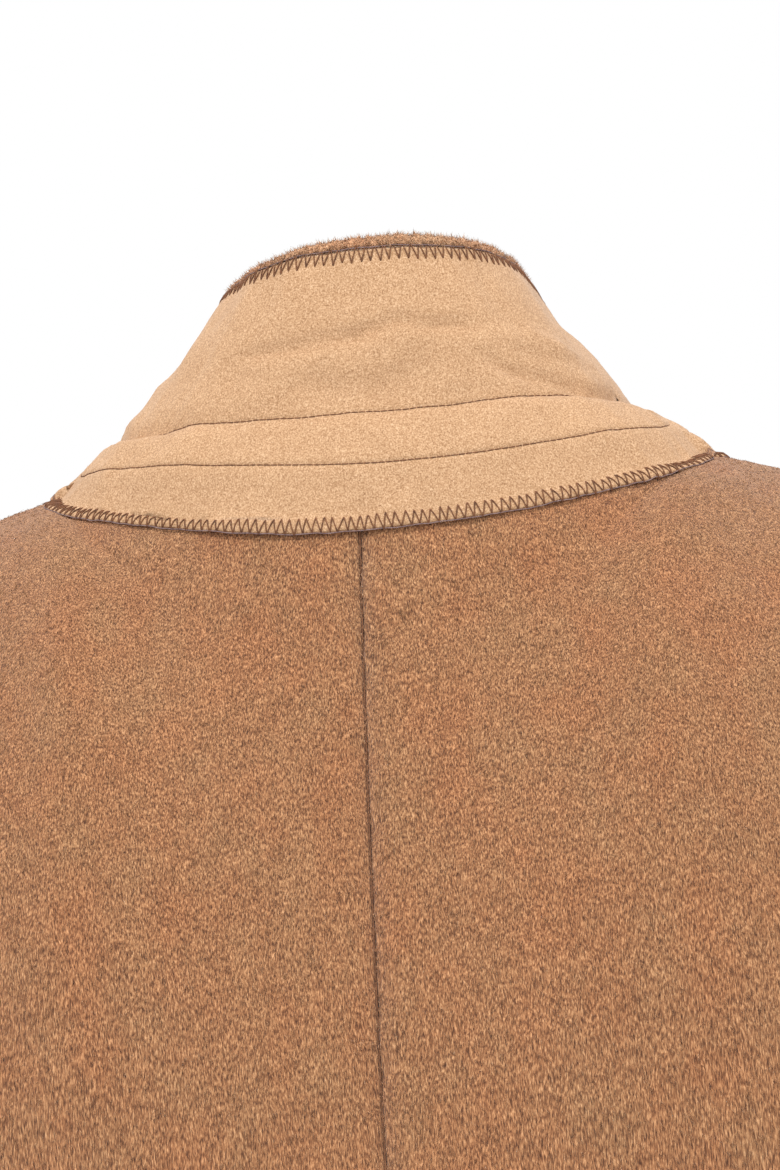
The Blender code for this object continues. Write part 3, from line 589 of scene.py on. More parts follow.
def front_upper_at(x, climb):
    """A point of the front above the underarm, by its distance from the centre front."""
    depth_share, height_share = bend(climb, *SHOULDER_BEND)
    deepest = from_table(BODY, "front_depth", UNDERARM_Z)
    full = section_depth(x, yoke_half_width(climb), deepest)
    z = UNDERARM_Z + (shoulder_z(x) - UNDERARM_Z) * height_share
    return np.stack([x + 0 * climb, -full * depth_share, z], axis=-1)


def front_lower_at(x, z):
    half_width = from_table(BODY, "half_width", z)
    depth = from_table(BODY, "front_depth", z)
    return np.stack([x + 0 * z, -section_depth(x, half_width, depth), z + 0 * x], axis=-1)


# The shoulder bend's heights by climb, for finding the climb of a height
CLIMBS = np.linspace(0.0, 1.0, CLIMB_SAMPLES)
HEIGHT_SHARES = bend(CLIMBS, *SHOULDER_BEND)[1]


def front_at(x, z):
    """The front surface by width and height, for what lies on it."""
    share = np.clip((z - UNDERARM_Z) / (shoulder_z(x) - UNDERARM_Z), 0, 1)
    upper = front_upper_at(x, np.interp(share, HEIGHT_SHARES, CLIMBS))
    lower = front_lower_at(x, np.minimum(z, UNDERARM_Z))
    return np.where((z >= UNDERARM_Z)[..., None], upper, lower)


def front_edge_x(z):
    """The front's free edge: upright below the lapel's break, and the roll line above it."""
    along = np.clip((z - ROLL_BREAK_Z) / (ROLL_TOP_Z - ROLL_BREAK_Z), 0, 1)
    neck = np.clip((z - ROLL_TOP_Z) / -ROLL_TOP_Z, 0, 1)
    return -BUTTON_STAND + (ROLL_TOP_X + BUTTON_STAND) * along + (NECK_HALF_WIDTH - ROLL_TOP_X) * neck


def lay_over(points, layer):
    """A front's points, moved out (layer 1) or in (layer -1) where the fronts overlap."""
    moved = points.copy()
    moved[..., 1] -= layer * OVERLAP_STEP * ramp(OVERLAP_END_X, OVERLAP_FULL_X, np.abs(points[..., 0]))
    return moved


def front_height(climb):
    """Height at a climb from the underarm (0) up to the neck end of the shoulder (1)."""
    return UNDERARM_Z - UNDERARM_Z * bend(climb, *SHOULDER_BEND)[1]


def front_upper(u, climb, layer):
    inner = front_edge_x(front_height(climb))
    outer = from_table(ARMHOLE, "front_x", climb)
    x = inner + (outer - inner) * spread_of(u) ** (1 - climb) * u**climb
    return lay_over(front_upper_at(x, climb), layer)


def front_lower(u, z, layer):
    half_width = from_table(BODY, "half_width", z)
    inner = front_edge_x(z)
    return lay_over(front_lower_at(inner + (half_width - inner) * spread_of(u), z), layer)


# ---- Walls


def grid_of(surface, first, second):
    """Points and unit normals of a surface on a grid, with the skirt's folds."""
    a, b = np.meshgrid(first, second, indexing="ij")

    def place(da, db):
        return drape(surface(a + da, b + db))

    inside_a, inside_b = np.where(a > first[0], -SMALL, SMALL), np.where(b < second[-1], SMALL, -SMALL)
    points = place(0, 0)
    along_a = (place(inside_a, 0) - points) / inside_a[..., None]
    along_b = (place(0, inside_b) - points) / inside_b[..., None]
    return points, unit(np.cross(along_a, along_b))


def pull_in(points, start, end, axis):
    """Moves a grid's first and last lines in from the seams that they lie on."""
    grid = np.moveaxis(points.copy(), axis, 0)
    if start:
        grid[0] += unit(grid[1] - grid[0]) * start
    if end:
        grid[-1] += unit(grid[-2] - grid[-1]) * end
    return np.moveaxis(grid, 0, axis)


def mirrored(points):
    return points * np.array([-1.0, 1.0, 1.0])


def sided(points, side):
    """The left side's points, or their mirror for the right side."""
    return points if side > 0 else mirrored(points)


def lapel_grid(side):
    """The turned-back lapel's grid on its front, as (x, z, share across); make_lapel lifts it a little along
    the roll.
    """
    start = 0.0 if side > 0 else RIGHT_LAPEL_START
    climb = np.linspace(start, 1, LAPEL_FINE_ROWS)[:, None]
    across = np.linspace(0, 1, LAPEL_FINE_COLUMNS)[None, :]
    top_z = front_height(GORGE_CLIMB) - LAPEL_DROP
    inner_z = ROLL_BREAK_Z + LAPEL_CLEARANCE + (top_z - ROLL_BREAK_Z - LAPEL_CLEARANCE) * climb
    inner_x = front_edge_x(inner_z) - LAPEL_OVERHANG
    foot_x = -BUTTON_STAND + LAPEL_CLEARANCE
    outer_x = foot_x + (LAPEL_POINT[0] - foot_x) * climb
    outer_z = ROLL_BREAK_Z + (LAPEL_POINT[1] - ROLL_BREAK_Z) * climb
    belly = np.sin(math.pi * climb)
    outer_x, outer_z = outer_x + LAPEL_BELLY[0] * belly, outer_z + LAPEL_BELLY[1] * belly
    if side < 0:
        clear_x = LAPEL_CLEARANCE - front_edge_x(inner_z)
        width = np.maximum(outer_x - inner_x, SMALL)
        hidden = np.clip((clear_x - inner_x) / width, 0, LAPEL_HIDDEN_MOST)
        across = hidden + (1 - hidden) * across
    x = inner_x + (outer_x - inner_x) * across
    z = inner_z + (outer_z - inner_z) * across
    return x, z, across


def neck_seam(station):
    """(point, outward normal, way down the body) of the neck seam at a signed station."""
    side = 1 if station >= 0 else -1
    s = abs(station)

    def at(offset, down):
        place = np.array(s + offset)
        if place < BACK_SHARE:
            found = back_upper(place / BACK_SHARE * NECK_SHARE, np.array(1.0 - down))
        else:
            climb = 1 - (1 - GORGE_CLIMB) * (place - BACK_SHARE) / (1 - BACK_SHARE)
            found = front_upper_at(front_edge_x(front_height(climb)) + down, climb)
        return drape(sided(found, side))

    point = at(0, 0)
    step = SMALL if s < 1 - SMALL else -SMALL
    normal = unit(np.cross(at(step, 0) - point, at(0, SMALL) - point))
    if normal @ (point - CHEST_MIDDLE) < 0:
        normal = -normal
    before = mirrored(at(CORNER_SPAN, 0)) if s < CORNER_SPAN else at(-CORNER_SPAN, 0)
    after = point if s > 1 - CORNER_SPAN else at(CORNER_SPAN, 0)
    down = unit(np.cross(normal, after - before))
    return point, normal, down if down @ (point - NECK_MIDDLE) > 0 else -down


def collar_line(part, station):
    """The roll line or the free edge of the collar at a signed station."""
    side = 1 if station >= 0 else -1
    place = [from_table(COLLAR, f"{part}_{axis}", abs(station)) for axis in "xyz"]
    sway = np.array([EDGE_SWAY if part == "edge" else ROLL_SWAY, 0.0, 0.0])
    return sided(np.array(place, dtype=float), side) + sway


def collar_grid(stations):
    """Points of the felt's outer face, from its lower edge to its top edge."""
    columns = []
    for station in stations:
        seam, normal, down = neck_seam(station)
        foot = seam + normal * (FELT_LAP + FELT)
        roll, edge = collar_line("roll", station), collar_line("edge", station)
        step = SMALL if station < 1 - SMALL else -SMALL
        level = (collar_line("roll", station + step) - roll) / step
        stand_out = unit(np.cross(roll - foot, level))
        fall_out = unit(np.cross(edge - roll, level))
        sideways = ramp(*SIDE_REACH, abs(station))
        fading = 1 - ramp(END_START, 1.0, abs(station))
        bulge = STAND_BULGE + (STAND_BULGE_SIDE - STAND_BULGE) * sideways * fading
        tuck = CREASE_TUCK * sideways * fading

        def stand(t):
            round_out = bulge * math.sin(math.pi * t) ** STAND_BULGE_POWER
            return foot + (roll - foot) * t + stand_out * round_out

        lap, middle = foot + down * COLLAR_LAP, stand(STAND_MIDDLE)
        rows = [(1 - t) ** 2 * lap + 2 * t * (1 - t) * foot + t**2 * middle for t in FOOT_STEPS]
        rows += [stand(t) for t in STAND_STEPS]
        for t in FALL_STEPS:
            round_out = FALL_BULGE * math.sin(math.pi * t) - tuck * (1 - t) ** 3
            rows.append(roll + (edge - roll) * t + fall_out * round_out)
        columns.append(rows)
    return np.array(columns).transpose(1, 0, 2)


def grid_normals(points):
    """Unit normals of a grid of points, facing away from the neck's axis."""
    normals = unit(np.cross(np.gradient(points, axis=0), np.gradient(points, axis=1)))
    return normals if normals[0, points.shape[1] // 2, 1] > 0 else -normals


def armhole_loop(side):
    """The armhole's edge from the underarm up the back, over the shoulder tip and down the front."""
    half = SLEEVE_FINE_SIDES // 2
    dense = np.linspace(0, 1, EDGE_SAMPLES)
    loop = []
    for surface, direction in ((back_upper, 1), (front_upper, -1)):
        extra = () if direction > 0 else (0,)
        edge = surface(np.ones_like(dense), dense, *extra)
        length = np.concatenate([[0], np.cumsum(np.linalg.norm(np.diff(edge, axis=0), axis=1))])
        places = np.interp(np.linspace(0, length[-1], half + 1), length, dense)
        points = surface(np.ones_like(places), places, *extra)[::direction]
        loop.append(points[:-1])
    return drape(sided(np.concatenate(loop), side))


def sleeve_ring(z, side):
    middle_x, middle_y, half_x, half_y = (from_table(SLEEVE, name, z) for name in SLEEVE[0][1:])
    angle = turns(SLEEVE_FINE_SIDES)
    x = middle_x - half_x * np.cos(angle)
    return sided(np.stack([x, middle_y + half_y * np.sin(angle), z + 0 * x], axis=-1), side)


def sleeve_grid(side):
    """Rings from the armhole to the cuff, with a set-in cap between the armhole and the upper arm."""
    start = armhole_loop(side) + np.array([side * SLEEVE_START, 0, 0])
    cuff, top = SLEEVE[1][0], SLEEVE[-1][0]
    end = sleeve_ring(top, side)
    down = unit(sleeve_ring(top + (cuff - top) / SLEEVE_RINGS, side) - end)
    reach = np.linalg.norm(end - start, axis=-1, keepdims=True)
    top_share = (1 - np.cos(turns(SLEEVE_FINE_SIDES)))[:, None] / 2
    out = unit(np.concatenate([np.full_like(top_share, side), 0 * top_share, CAP_ROLL * top_share], axis=1))
    swell = CAP_UNDERARM + (1 - CAP_UNDERARM) * top_share
    rings = []
    for t in CAP_FINE_ROWS:
        ring = (2 * t**3 - 3 * t**2 + 1) * start + (3 * t**2 - 2 * t**3) * end
        ring = ring + (t**3 - 2 * t**2 + t) * reach * CAP_OUT * out * swell
        rings.append(ring + (t**3 - t**2) * reach * CAP_DOWN * down)
    rings += [sleeve_ring(z, side) for z in np.linspace(top, cuff, SLEEVE_FINE_RINGS)]
    return np.array(rings)


def ring_normals(rings):
    """Unit normals of a tube of rings, facing away from its middle."""
    round_way = np.roll(rings, -1, axis=1) - np.roll(rings, 1, axis=1)
    along = np.gradient(rings, axis=0)
    normals = unit(np.cross(round_way, along))
    outward = rings - rings.mean(axis=1, keepdims=True)
    return normals if np.sum(normals * outward) > 0 else -normals


def button_seat(z):
    """(place, outward direction) of a button on the left front, clear of the cloth's curve."""
    offsets = np.array([(0, 0), (1, 0), (-1, 0), (0, 1), (0, -1)]) * BUTTON_RADIUS
    points = drape(lay_over(front_at(offsets[:, 0], z + offsets[:, 1]), 1))
    out = unit(np.cross(points[3] - points[4], points[1] - points[2]))
    out = out if out[1] < 0 else -out
    highest = max((points - points[0]) @ out)
    return points[0] + out * (highest + BUTTON_GAP), out


# ---- Fine grids


def waves(seed, count, shortest, longest):
    """A soft, uneven field over (u, v) in metres, between about -1 and 1."""
    chance = np.random.default_rng(seed)
    length = np.exp(chance.uniform(math.log(shortest), math.log(longest), count))
    heading = chance.uniform(0, 2 * math.pi, count)
    phase = chance.uniform(0, 2 * math.pi, count)
    share = (length / longest) ** 0.5

    def field(u, v):
        total = 0
        for k in range(count):
            way = u * math.cos(heading[k]) + v * math.sin(heading[k])
            total = total + share[k] * np.sin(2 * math.pi * way / length[k] + phase[k])
        return total / math.sqrt(np.sum(share**2))

    return field


def new_object(name, points, faces, finish):
    mesh = bpy.data.meshes.new(name)
    mesh.from_pydata(points, [], faces)
    mesh.shade_smooth()
    mesh.materials.append(finish)
    made = bpy.data.objects.new(name, mesh)
    bpy.context.scene.collection.objects.link(made)
    return made


def quads(rows, columns, base, turned):
    i, j = np.meshgrid(np.arange(rows - 1), np.arange(columns - 1), indexing="ij")
    a = (base + i * columns + j).ravel()
    found = np.stack([a, a + 1, a + columns + 1, a + columns], axis=-1)
    return found[:, ::-1] if turned else found


def edge_line(rows, columns):
    line = [(0, j) for j in range(columns)]
    line += [(i, columns - 1) for i in range(1, rows)]
    line += [(rows - 1, j) for j in range(columns - 2, -1, -1)]
    line += [(i, 0) for i in range(rows - 2, 0, -1)]
    return line


def shell(name, points, normals, thickness, finish):
    """A thin closed cloth shell with rounded edges. points is its outer face, normals point out of it."""
    rows, columns = points.shape[:2]
    count = rows * columns
    round_off = EDGE_ROUND * np.mean(thickness)
    face = pull_in(pull_in(points, round_off, round_off, 0), round_off, round_off, 1)
    thickness = np.broadcast_to(thickness, points.shape[:2])[..., None]
    i, j = np.array(edge_line(rows, columns)).T
    middle = points[i, j] - normals[i, j] * thickness[i, j] / 2
    spots = np.concatenate([face.reshape(-1, 3), (face - normals * thickness).reshape(-1, 3), middle])
    along = np.cross(points[1:, 1:] - points[:-1, :-1], points[:-1, 1:] - points[1:, :-1])
    turned = np.sum(along * normals[:-1, :-1]) > 0
    loop, rim = i * columns + j, 2 * count + np.arange(len(i))
    following, rim_next = np.roll(loop, -1), np.roll(rim, -1)
    edges = [(following, loop, rim, rim_next), (rim_next, rim, loop + count, following + count)]
    edges = [np.stack(edge[::-1] if turned else edge, axis=-1) for edge in edges]
    faces = np.concatenate([quads(rows, columns, 0, turned), quads(rows, columns, count, not turned)] + edges)
    return new_object(name, spots, faces, finish)


def distances(points, axis):
    """Distance along the grid's lines from its first line."""
    steps = np.linalg.norm(np.diff(points, axis=axis), axis=-1)
    start = np.zeros_like(np.take(steps, [0], axis=axis))
    return np.concatenate([start, np.cumsum(steps, axis=axis)], axis=axis)


# ---- Back, fronts and lapels


def cloth_swell(points, seed):
    """The wool's own unevenness, across the panel and down it."""
    across = points[..., 0] + SWELL_LEAN * points[..., 1]
    return WOOL_SWELL * waves(seed, *WOOL_WAVES)(across, points[..., 2])


def raise_shoulders(points):
    """The points with both shoulders a little higher."""
    places = np.stack([np.abs(points[..., 0]), points[..., 1]], axis=-1)
    near = np.prod(hill(places - SHOULDER_PLACE, SHOULDER_SPREAD), axis=-1)
    raised = points.copy()
    raised[..., 2] += np.where(points[..., 0] > 0, *SHOULDER_LIFTS) * near
    return raised


def make_panel(name, lower, upper, side, column_count, seed, finish):
    """(cloth, outer points, outward normals) of a back or a front. Its edges run a little past its seams."""
    centre_seam = column_count == BACK_COLUMNS
    columns = np.linspace(0, 1, column_count)
    low_rows = np.linspace(HEM_Z, UNDERARM_Z, PANEL_LOWER_ROWS)[:-1]
    low = grid_of(lambda z, u: sided(lower(u, z), side), low_rows, columns)
    high_rows = np.linspace(0, 1, PANEL_UPPER_ROWS)
    high = grid_of(lambda climb, u: sided(upper(u, climb), side), high_rows, columns)
    points, normals = (np.concatenate(parts) for parts in zip(low, high))
    if np.sum(normals[..., 1]) * points[..., 1].mean() < 0:
        normals = -normals
    points = pull_in(raise_shoulders(points), 0, -SEAM_OVER, 0)
    points = pull_in(points, -SEAM_OVER if centre_seam else 0, -SEAM_OVER, 1)
    from_middle = distances(points, 1)
    seams = hill(from_middle[:, -1:] - from_middle, SEAM_WIDTH)
    if centre_seam:
        seams = seams + hill(from_middle, SEAM_WIDTH)
    pucker = 1 + SEAM_PUCKER * waves(seed + SEAM_SEED, *SEAM_WAVES)(0 * points[..., 2], points[..., 2])
    points = points + normals * (cloth_swell(points, seed) - SEAM_SINK * pucker * seams)[..., None]
    return shell(name, points, normals, WOOL, finish), points, normals


def make_lapel(side, name, finish):
    x, z, across = lapel_grid(side)

    def surface(dx, dz):
        return drape(sided(lay_over(front_at(x + dx, z + dz), side), side))

    points = surface(0, 0)
    normals = unit(np.cross(surface(SMALL, 0) - points, surface(0, SMALL) - points))
    normals = np.where(normals[..., 1:2] > 0, -normals, normals)
    lift = LAPEL_LIFT * np.sin(math.pi * np.clip(across / LAPEL_LIFT_SHARE, 0, 1)) ** 2
    outer = points + normals * (LAYER_GAP + lift + WOOL + WOOL_SWELL / 2)[..., None]
    return shell(name, outer, normals, WOOL, finish)


# ---- Collar


def tree_of(grids):
    """The grids' faces, for finding the nearest place on them."""
    spots = np.concatenate([grid.reshape(-1, 3) for grid in grids])
    starts = np.cumsum([0] + [grid.shape[0] * grid.shape[1] for grid in grids])
    faces = [quads(*grid.shape[:2], start, False) for grid, start in zip(grids, starts)]
    return BVHTree.FromPolygons(spots.tolist(), np.concatenate(faces).tolist())


def way_on(row, station):
    """How far up the felt a stitch row lies."""
    return float(from_table(row, "way", station))


class Felt:
    """The felt's outer face: place(station, way) where way is metres up from the felt's lower edge."""

    def __init__(self, wool_faces):
        self.stations = np.linspace(-1, 1, COLLAR_FINE)
        rows = collar_grid(self.stations)
        length = distances(rows, 0)
        self.top = length[-1]
        self.stitch_rows = [from_table(row, "way", self.stations) for row in (STAND_ROW, CREASE_ROW)]
        marks = [0 * self.top]
        for row in self.stitch_rows:
            marks += [row - DENSE_BAND, row + DENSE_BAND]
        marks += [self.top - TOP_BAND, self.top]
        spans = [np.linspace(a, b, n + 1)[:-1] for a, b, n in zip(marks, marks[1:], FELT_SPANS)]
        self.ways = np.concatenate(spans + [self.top[None]])
        points = np.empty(self.ways.shape + (3,))
        for k, axis in np.ndindex(rows.shape[1:]):
            points[:, k, axis] = smooth_curve(length[:, k], rows[:, k, axis], self.ways[:, k])
        lift = from_table(FOLD, "lift", self.stations)
        points[..., 2] += lift * hill(self.ways - length[ROLL_ROW], FOLD_SPREAD)
        edge, top = (from_table(EDGE_LIFTS, name, self.stations) for name in ("edge", "top"))
        points[..., 2] += edge * ramp(EDGE_FADE_WAY, 0.0, self.ways) + top * ramp(*TOP_FADE_WAYS, self.ways)
        self.points = self.seated(points, wool_faces)
        self.normals = grid_normals(self.points)

    def seated(self, points, wool_faces):
        """The points with their lowest rows laid on the wool, and the rest drawn after them less and less."""
        normals = grid_normals(points)
        low = int(np.sum(self.ways[:, 0] <= SEAT_WAY))
        moved = np.zeros_like(points)
        height = from_table(SEAT, "height", self.stations)
        for i, k in np.ndindex(low, len(self.stations)):
            found, out, _, _ = wool_faces.find_nearest(Vector(points[i, k]))
            out = np.array(out) * np.sign(np.dot(out, normals[i, k]))
            moved[i, k] = np.array(found) + out * height[k] - points[i, k]
        moved[low:] = moved[low - 1] * (1 - ramp(SEAT_WAY, SEAT_FADE_WAY, self.ways[low:]))[..., None]
        return points + moved * ramp(*SEAT_STATIONS, np.abs(self.stations))[None, :, None]

    def at(self, station, way, grid):
        """The grid's value at a station and a way up."""
        place = (np.clip(station, -1, 1) + 1) / 2 * (len(self.stations) - 1)
        k = min(int(place), len(self.stations) - 2)
        t = place - k
        before, after = (
            np.array([np.interp(way, self.ways[:, column], grid[:, column, axis]) for axis in range(3)])
            for column in (k, k + 1)
        )
        return before * (1 - t) + after * t


def felt_relief(felt):
    """Creases, stitch channels and the felt's own unevenness, in metres out of the face."""
    station = np.broadcast_to(felt.stations, felt.ways.shape)
    share = felt.ways / felt.top
    relief = FELT_SWELL * waves(FELT_SEED, *FELT_WAVES)(station * STATION_LENGTH, felt.ways)
    for width, lift, line in CREASES:
        places, shares = np.array(line).T
        fade = ramp(places[0] - CREASE_FADE, places[0] + CREASE_FADE, station)
        fade = fade * ramp(places[-1] + CREASE_FADE, places[-1] - CREASE_FADE, station)
        away = (share - np.interp(station, places, shares)) * FALL_HEIGHT
        relief = relief + lift * fade * hill(away, width)
    for row in felt.stitch_rows:
        relief = relief - CHANNEL * hill(felt.ways - row, CHANNEL_WIDTH)
    over = felt.ways - felt.stitch_rows[-1]
    lip = from_table(FOLD, "lip", felt.stations)
    relief = relief + lip * (hill(over + LIP_BELOW, LIP_WIDTH) - hill(over - DIP_ABOVE, DIP_WIDTH))
    return relief - EDGE_PRESS * (1 - ramp(0.0, EDGE_PRESS_WAY, felt.ways))


def make_felt(felt, finish):
    relief = felt_relief(felt)
    felt.inside = felt.points + felt.normals * np.minimum(relief, 0)[..., None]
    felt.inward = -felt.normals
    felt.points = felt.points + felt.normals * relief[..., None]
    felt.normals = grid_normals(felt.points)
    thickness = FELT - EDGE_THIN * EDGE_PRESS * (1 - ramp(0.0, EDGE_PRESS_WAY, felt.ways))
    return shell("undercollar_felt", felt.points, felt.normals, thickness, finish)


def make_top_collar(felt, finish):
    """(cloth, outer points, outward normals) of the wool inside the felt, with a full rounded rim over it."""
    start = int(np.argmax(felt.ways[:, 0] > TOP_COLLAR_START_WAY))
    body, inward = felt.inside[start::RIM_THIN], felt.inward[start::RIM_THIN]
    top = felt.inside[-1]
    up = unit(top - felt.inside[RIM_UP_ROW]) * from_table(RIM_SHARE, "share", felt.stations)[:, None]
    curls = waves(RIM_SEED, *RIM_WAVES)
    walls = []
    for inset, place in ((FELT + LAYER_GAP, 1), (FELT + LAYER_GAP + COLLAR_WOOL, 2)):
        rows = [body + inward * inset]
        for knot in RIM_FINE:
            swell = RIM_SWELL * curls(felt.stations * STATION_LENGTH, knot[0] + 0 * felt.stations)
            rows.append((top + up * (knot[0] + swell)[:, None] + felt.inward[-1] * knot[place])[None])
        walls.append(np.concatenate(rows))
    outer, inner = walls
    rows, columns = outer.shape[:2]
    count = rows * columns
    i, j = np.array(edge_line(rows, columns)).T
    loop = i * columns + j
    following = np.roll(loop, -1)
    rim = np.stack([following, loop, loop + count, following + count], axis=-1)
    faces = np.concatenate([quads(rows, columns, 0, True), quads(rows, columns, count, False), rim])
    made = new_object("top_collar_cloth", np.concatenate(walls).reshape(-1, 3), faces, finish)
    band = len(RIM_FINE) + 1
    over = np.concatenate([outer[-band:], inner[-1:-band:-1]])
    return made, over, grid_normals(over)


# ---- Nap


def scatter(points, normals, count, density, way, seed):
    """(places, outward normals, headings) of spots over a grid. way is 1 up its columns and -1 down them."""
    chance = np.random.default_rng(seed)
    corner = points[:-1, :-1]
    area = np.linalg.norm(np.cross(points[1:, :-1] - corner, points[:-1, 1:] - corner), axis=-1)
    chosen = (area * density[:-1, :-1]).ravel()
    i, j = np.unravel_index(chance.choice(chosen.size, count, p=chosen / chosen.sum()), area.shape)
    down, across = chance.random((2, count, 1))

    def read(grid):
        first = grid[i, j] * (1 - down) + grid[i + 1, j] * down
        return first * (1 - across) + (grid[i, j + 1] * (1 - down) + grid[i + 1, j + 1] * down) * across

    return read(points), unit(read(normals)), way * unit(points[i + 1, j] - points[i, j])


def fibres(name, spots, sizes, seed, finish):
    """Short tapering fibres in one mesh, each a closed three-sided spike from the cloth to its tip."""
    places, out, lie = spots
    length, width, rise, fan = sizes
    chance = np.random.default_rng(seed)
    count = len(places)
    turn = chance.normal(0, fan, (count, 1))
    lie = unit(lie * np.cos(turn) + unit(np.cross(out, lie)) * np.sin(turn))
    half = width * chance.uniform(*NAP_WIDTHS, (count, 1)) / 2
    aside = unit(np.cross(out, lie)) * half
    reach = length * chance.uniform(*NAP_LENGTHS, (count, 1))
    height = rise * chance.uniform(*NAP_RISES, (count, 1))
    root = places - out * NAP_SINK
    ridge, tip = root + out * half * NAP_RIDGE + lie * half, root + lie * reach + out * height
    corners = np.stack([root - aside, root + aside, ridge, tip], axis=1).reshape(-1, 3)
    pattern = np.array([(0, 1, 2), (0, 3, 1), (1, 3, 2), (2, 3, 0)])
    faces = (4 * np.arange(count)[:, None, None] + pattern[None]).reshape(-1, 3)
    return new_object(name, corners, faces, finish)


# ---- Sleeves and buttons


def make_sleeve(side, nodes, finish):
    rings = sleeve_grid(side)
    normals = ring_normals(rings)
    bent = ELBOW_CREASE * hill(rings[..., 2] - ELBOW_Z, ELBOW_REACH)
    forward = np.clip((rings[..., 1].mean(axis=1, keepdims=True) - rings[..., 1]) / ELBOW_ROUND, 0, 1)
    folds = bent * forward * np.sin(2 * math.pi * rings[..., 2] / ELBOW_PITCH)
    rings = rings + normals * (folds + cloth_swell(rings, SLEEVE_SEED + side))[..., None]
    rings[0] -= normals[0] * SEAM_SINK + np.array([side * HEAD_TUCK, 0, 0])
    top_columns = np.arange(BACK_SEAM, FRONT_SEAM + 1)
    under_columns = np.arange(FRONT_SEAM, SLEEVE_FINE_SIDES + BACK_SEAM + 1) % SLEEVE_FINE_SIDES
    made = []
    for node, columns in zip(nodes, (top_columns, under_columns)):
        points = pull_in(rings[:, columns], -SEAM_OVER, -SEAM_OVER, 1)
        made.append(shell(f"{node}_cloth", points, normals[:, columns], WOOL, finish))
    return made


def tube_faces(rings, sides, base):
    """Faces of a closed tube of rings whose first point is number base."""
    last = base + (rings - 1) * sides
    faces = [tuple(range(base + sides - 1, base - 1, -1)), tuple(range(last, last + sides))]
    for row in range(base, last, sides):
        for k in range(sides):
            after = (k + 1) % sides
            faces.append((row + k, row + after, row + sides + after, row + sides + k))
    return faces


def tubes(name, lines, radius, sides, finish):
    """Round tubes: threads, the lilac edge lines, and the centre back seam's dark line, which is a painted
    shadow. lines is a list of (points, normals).
    """
    spots, faces, base = [], [], 0
    angle = turns(sides)
    for points, normals in lines:
        along = unit(np.gradient(points, axis=0))
        aside = unit(np.cross(along, normals))
        up = np.cross(aside, along)
        ring = aside[:, None] * np.cos(angle)[None, :, None] + up[:, None] * np.sin(angle)[None, :, None]
        spots.append((points[:, None] + radius * ring).reshape(-1, 3))
        faces += tube_faces(len(points), sides, base)
        base += len(points) * sides
    return new_object(name, np.concatenate(spots), faces, finish)


def even_stations(felt, way_of, pitch, start, end):
    """Stations at an even pitch along the line way_of(station) on the felt."""
    dense = np.linspace(start, end, SEARCH_STATIONS)
    line = np.array([felt.at(s, way_of(s), felt.points) for s in dense])
    length = np.concatenate([[0], np.cumsum(np.linalg.norm(np.diff(line, axis=0), axis=1))])
    count = int(length[-1] / pitch)
    return np.interp(np.linspace(0, length[-1], count + 1), length, dense)


def stitches(felt, name, stations, way_of, lift_of, radius, finish):
    """Stitches from station to station. At share t and station s, stitch k lies at way_of(k, t, s)."""
    lines = []
    for k, (a, b) in enumerate(zip(stations, stations[1:])):
        spots = []
        for t, lift in STITCH_ARCH:
            s = a + (b - a) * t
            place, out = on_edge(felt, s, way_of(k, t, s))
            spots.append((place + out * (lift + lift_of(s)), out))
        lines.append([np.array(part) for part in zip(*spots)])
    return tubes(name, lines, radius, THREAD_SIDES, finish)


def stitch_row(felt, name, row, end, hidden, finish):
    """A row of stitches that dip into the felt. hidden holds (station, depth) pairs where it lies deeper."""
    places, depths = np.array(hidden).T
    stations = even_stations(felt, partial(way_on, row), ROW_PITCH, -end, end)

    def way_of(k, t, s):
        return way_on(row, s)

    def lift_of(s):
        return -np.interp(s, places, depths)

    return stitches(felt, name, stations, way_of, lift_of, ROW_THREAD, finish)


def on_edge(felt, station, way):
    """(place, outward normal) on the felt, or past its lower or top edge on the wool beside it."""
    top = float(np.interp(station, felt.stations, felt.top))
    inside = min(max(way, 0.0), top)
    place, out = felt.at(station, inside, felt.points), felt.at(station, inside, felt.normals)
    if way < 0:
        place = place + unit(place - felt.at(station, DENSE_BAND, felt.points)) * -way
    if way > top:
        up = unit(place - felt.at(station, top - DENSE_BAND, felt.points))
        place = place + up * (way - top) - out * min(OFF_EDGE_DROP * (way - top), FELT)
    return place, out


def zigzag(felt, name, low_of, high_of, finish):
    """An edging zigzag between two lines on the felt, as uneven as a machine leaves it."""
    chance = np.random.default_rng(ZIGZAG_SEED)
    stations = even_stations(felt, low_of, ZIGZAG_PITCH / 2, -EDGING_END, EDGING_END)
    stations = stations + chance.normal(0, ZIGZAG_DRIFT, len(stations))
    ways = [(high_of if k % 2 else low_of)(s) for k, s in enumerate(stations)]
    ways = [way + chance.normal(0, ZIGZAG_STRAY) for way in ways]

    def way_of(k, t, s):
        return ways[k] + (ways[k + 1] - ways[k]) * t

    return stitches(felt, name, stations, way_of, lambda s: ZIGZAG_LIFT, THREAD, finish)


def lilac_edge_line(felt, name, way_of, finish):
    """A thin dark lilac-grey line along an edge of the felt, by the zigzag's points."""
    stations = np.linspace(-EDGING_END, EDGING_END, EDGE_STATIONS)
    drift = EDGE_STRAY * waves(EDGE_LINE_SEED, *EDGE_LINE_WAVES)(stations * STATION_LENGTH, 0 * stations)
    found = [on_edge(felt, s, way_of(s) + away) for s, away in zip(stations, drift)]
    places, out = (np.array(part) for part in zip(*found))
    return tubes(name, [(places + out * ZIGZAG_LIFT, out)], EDGE_LINE_RADIUS, THREAD_SIDES, finish)


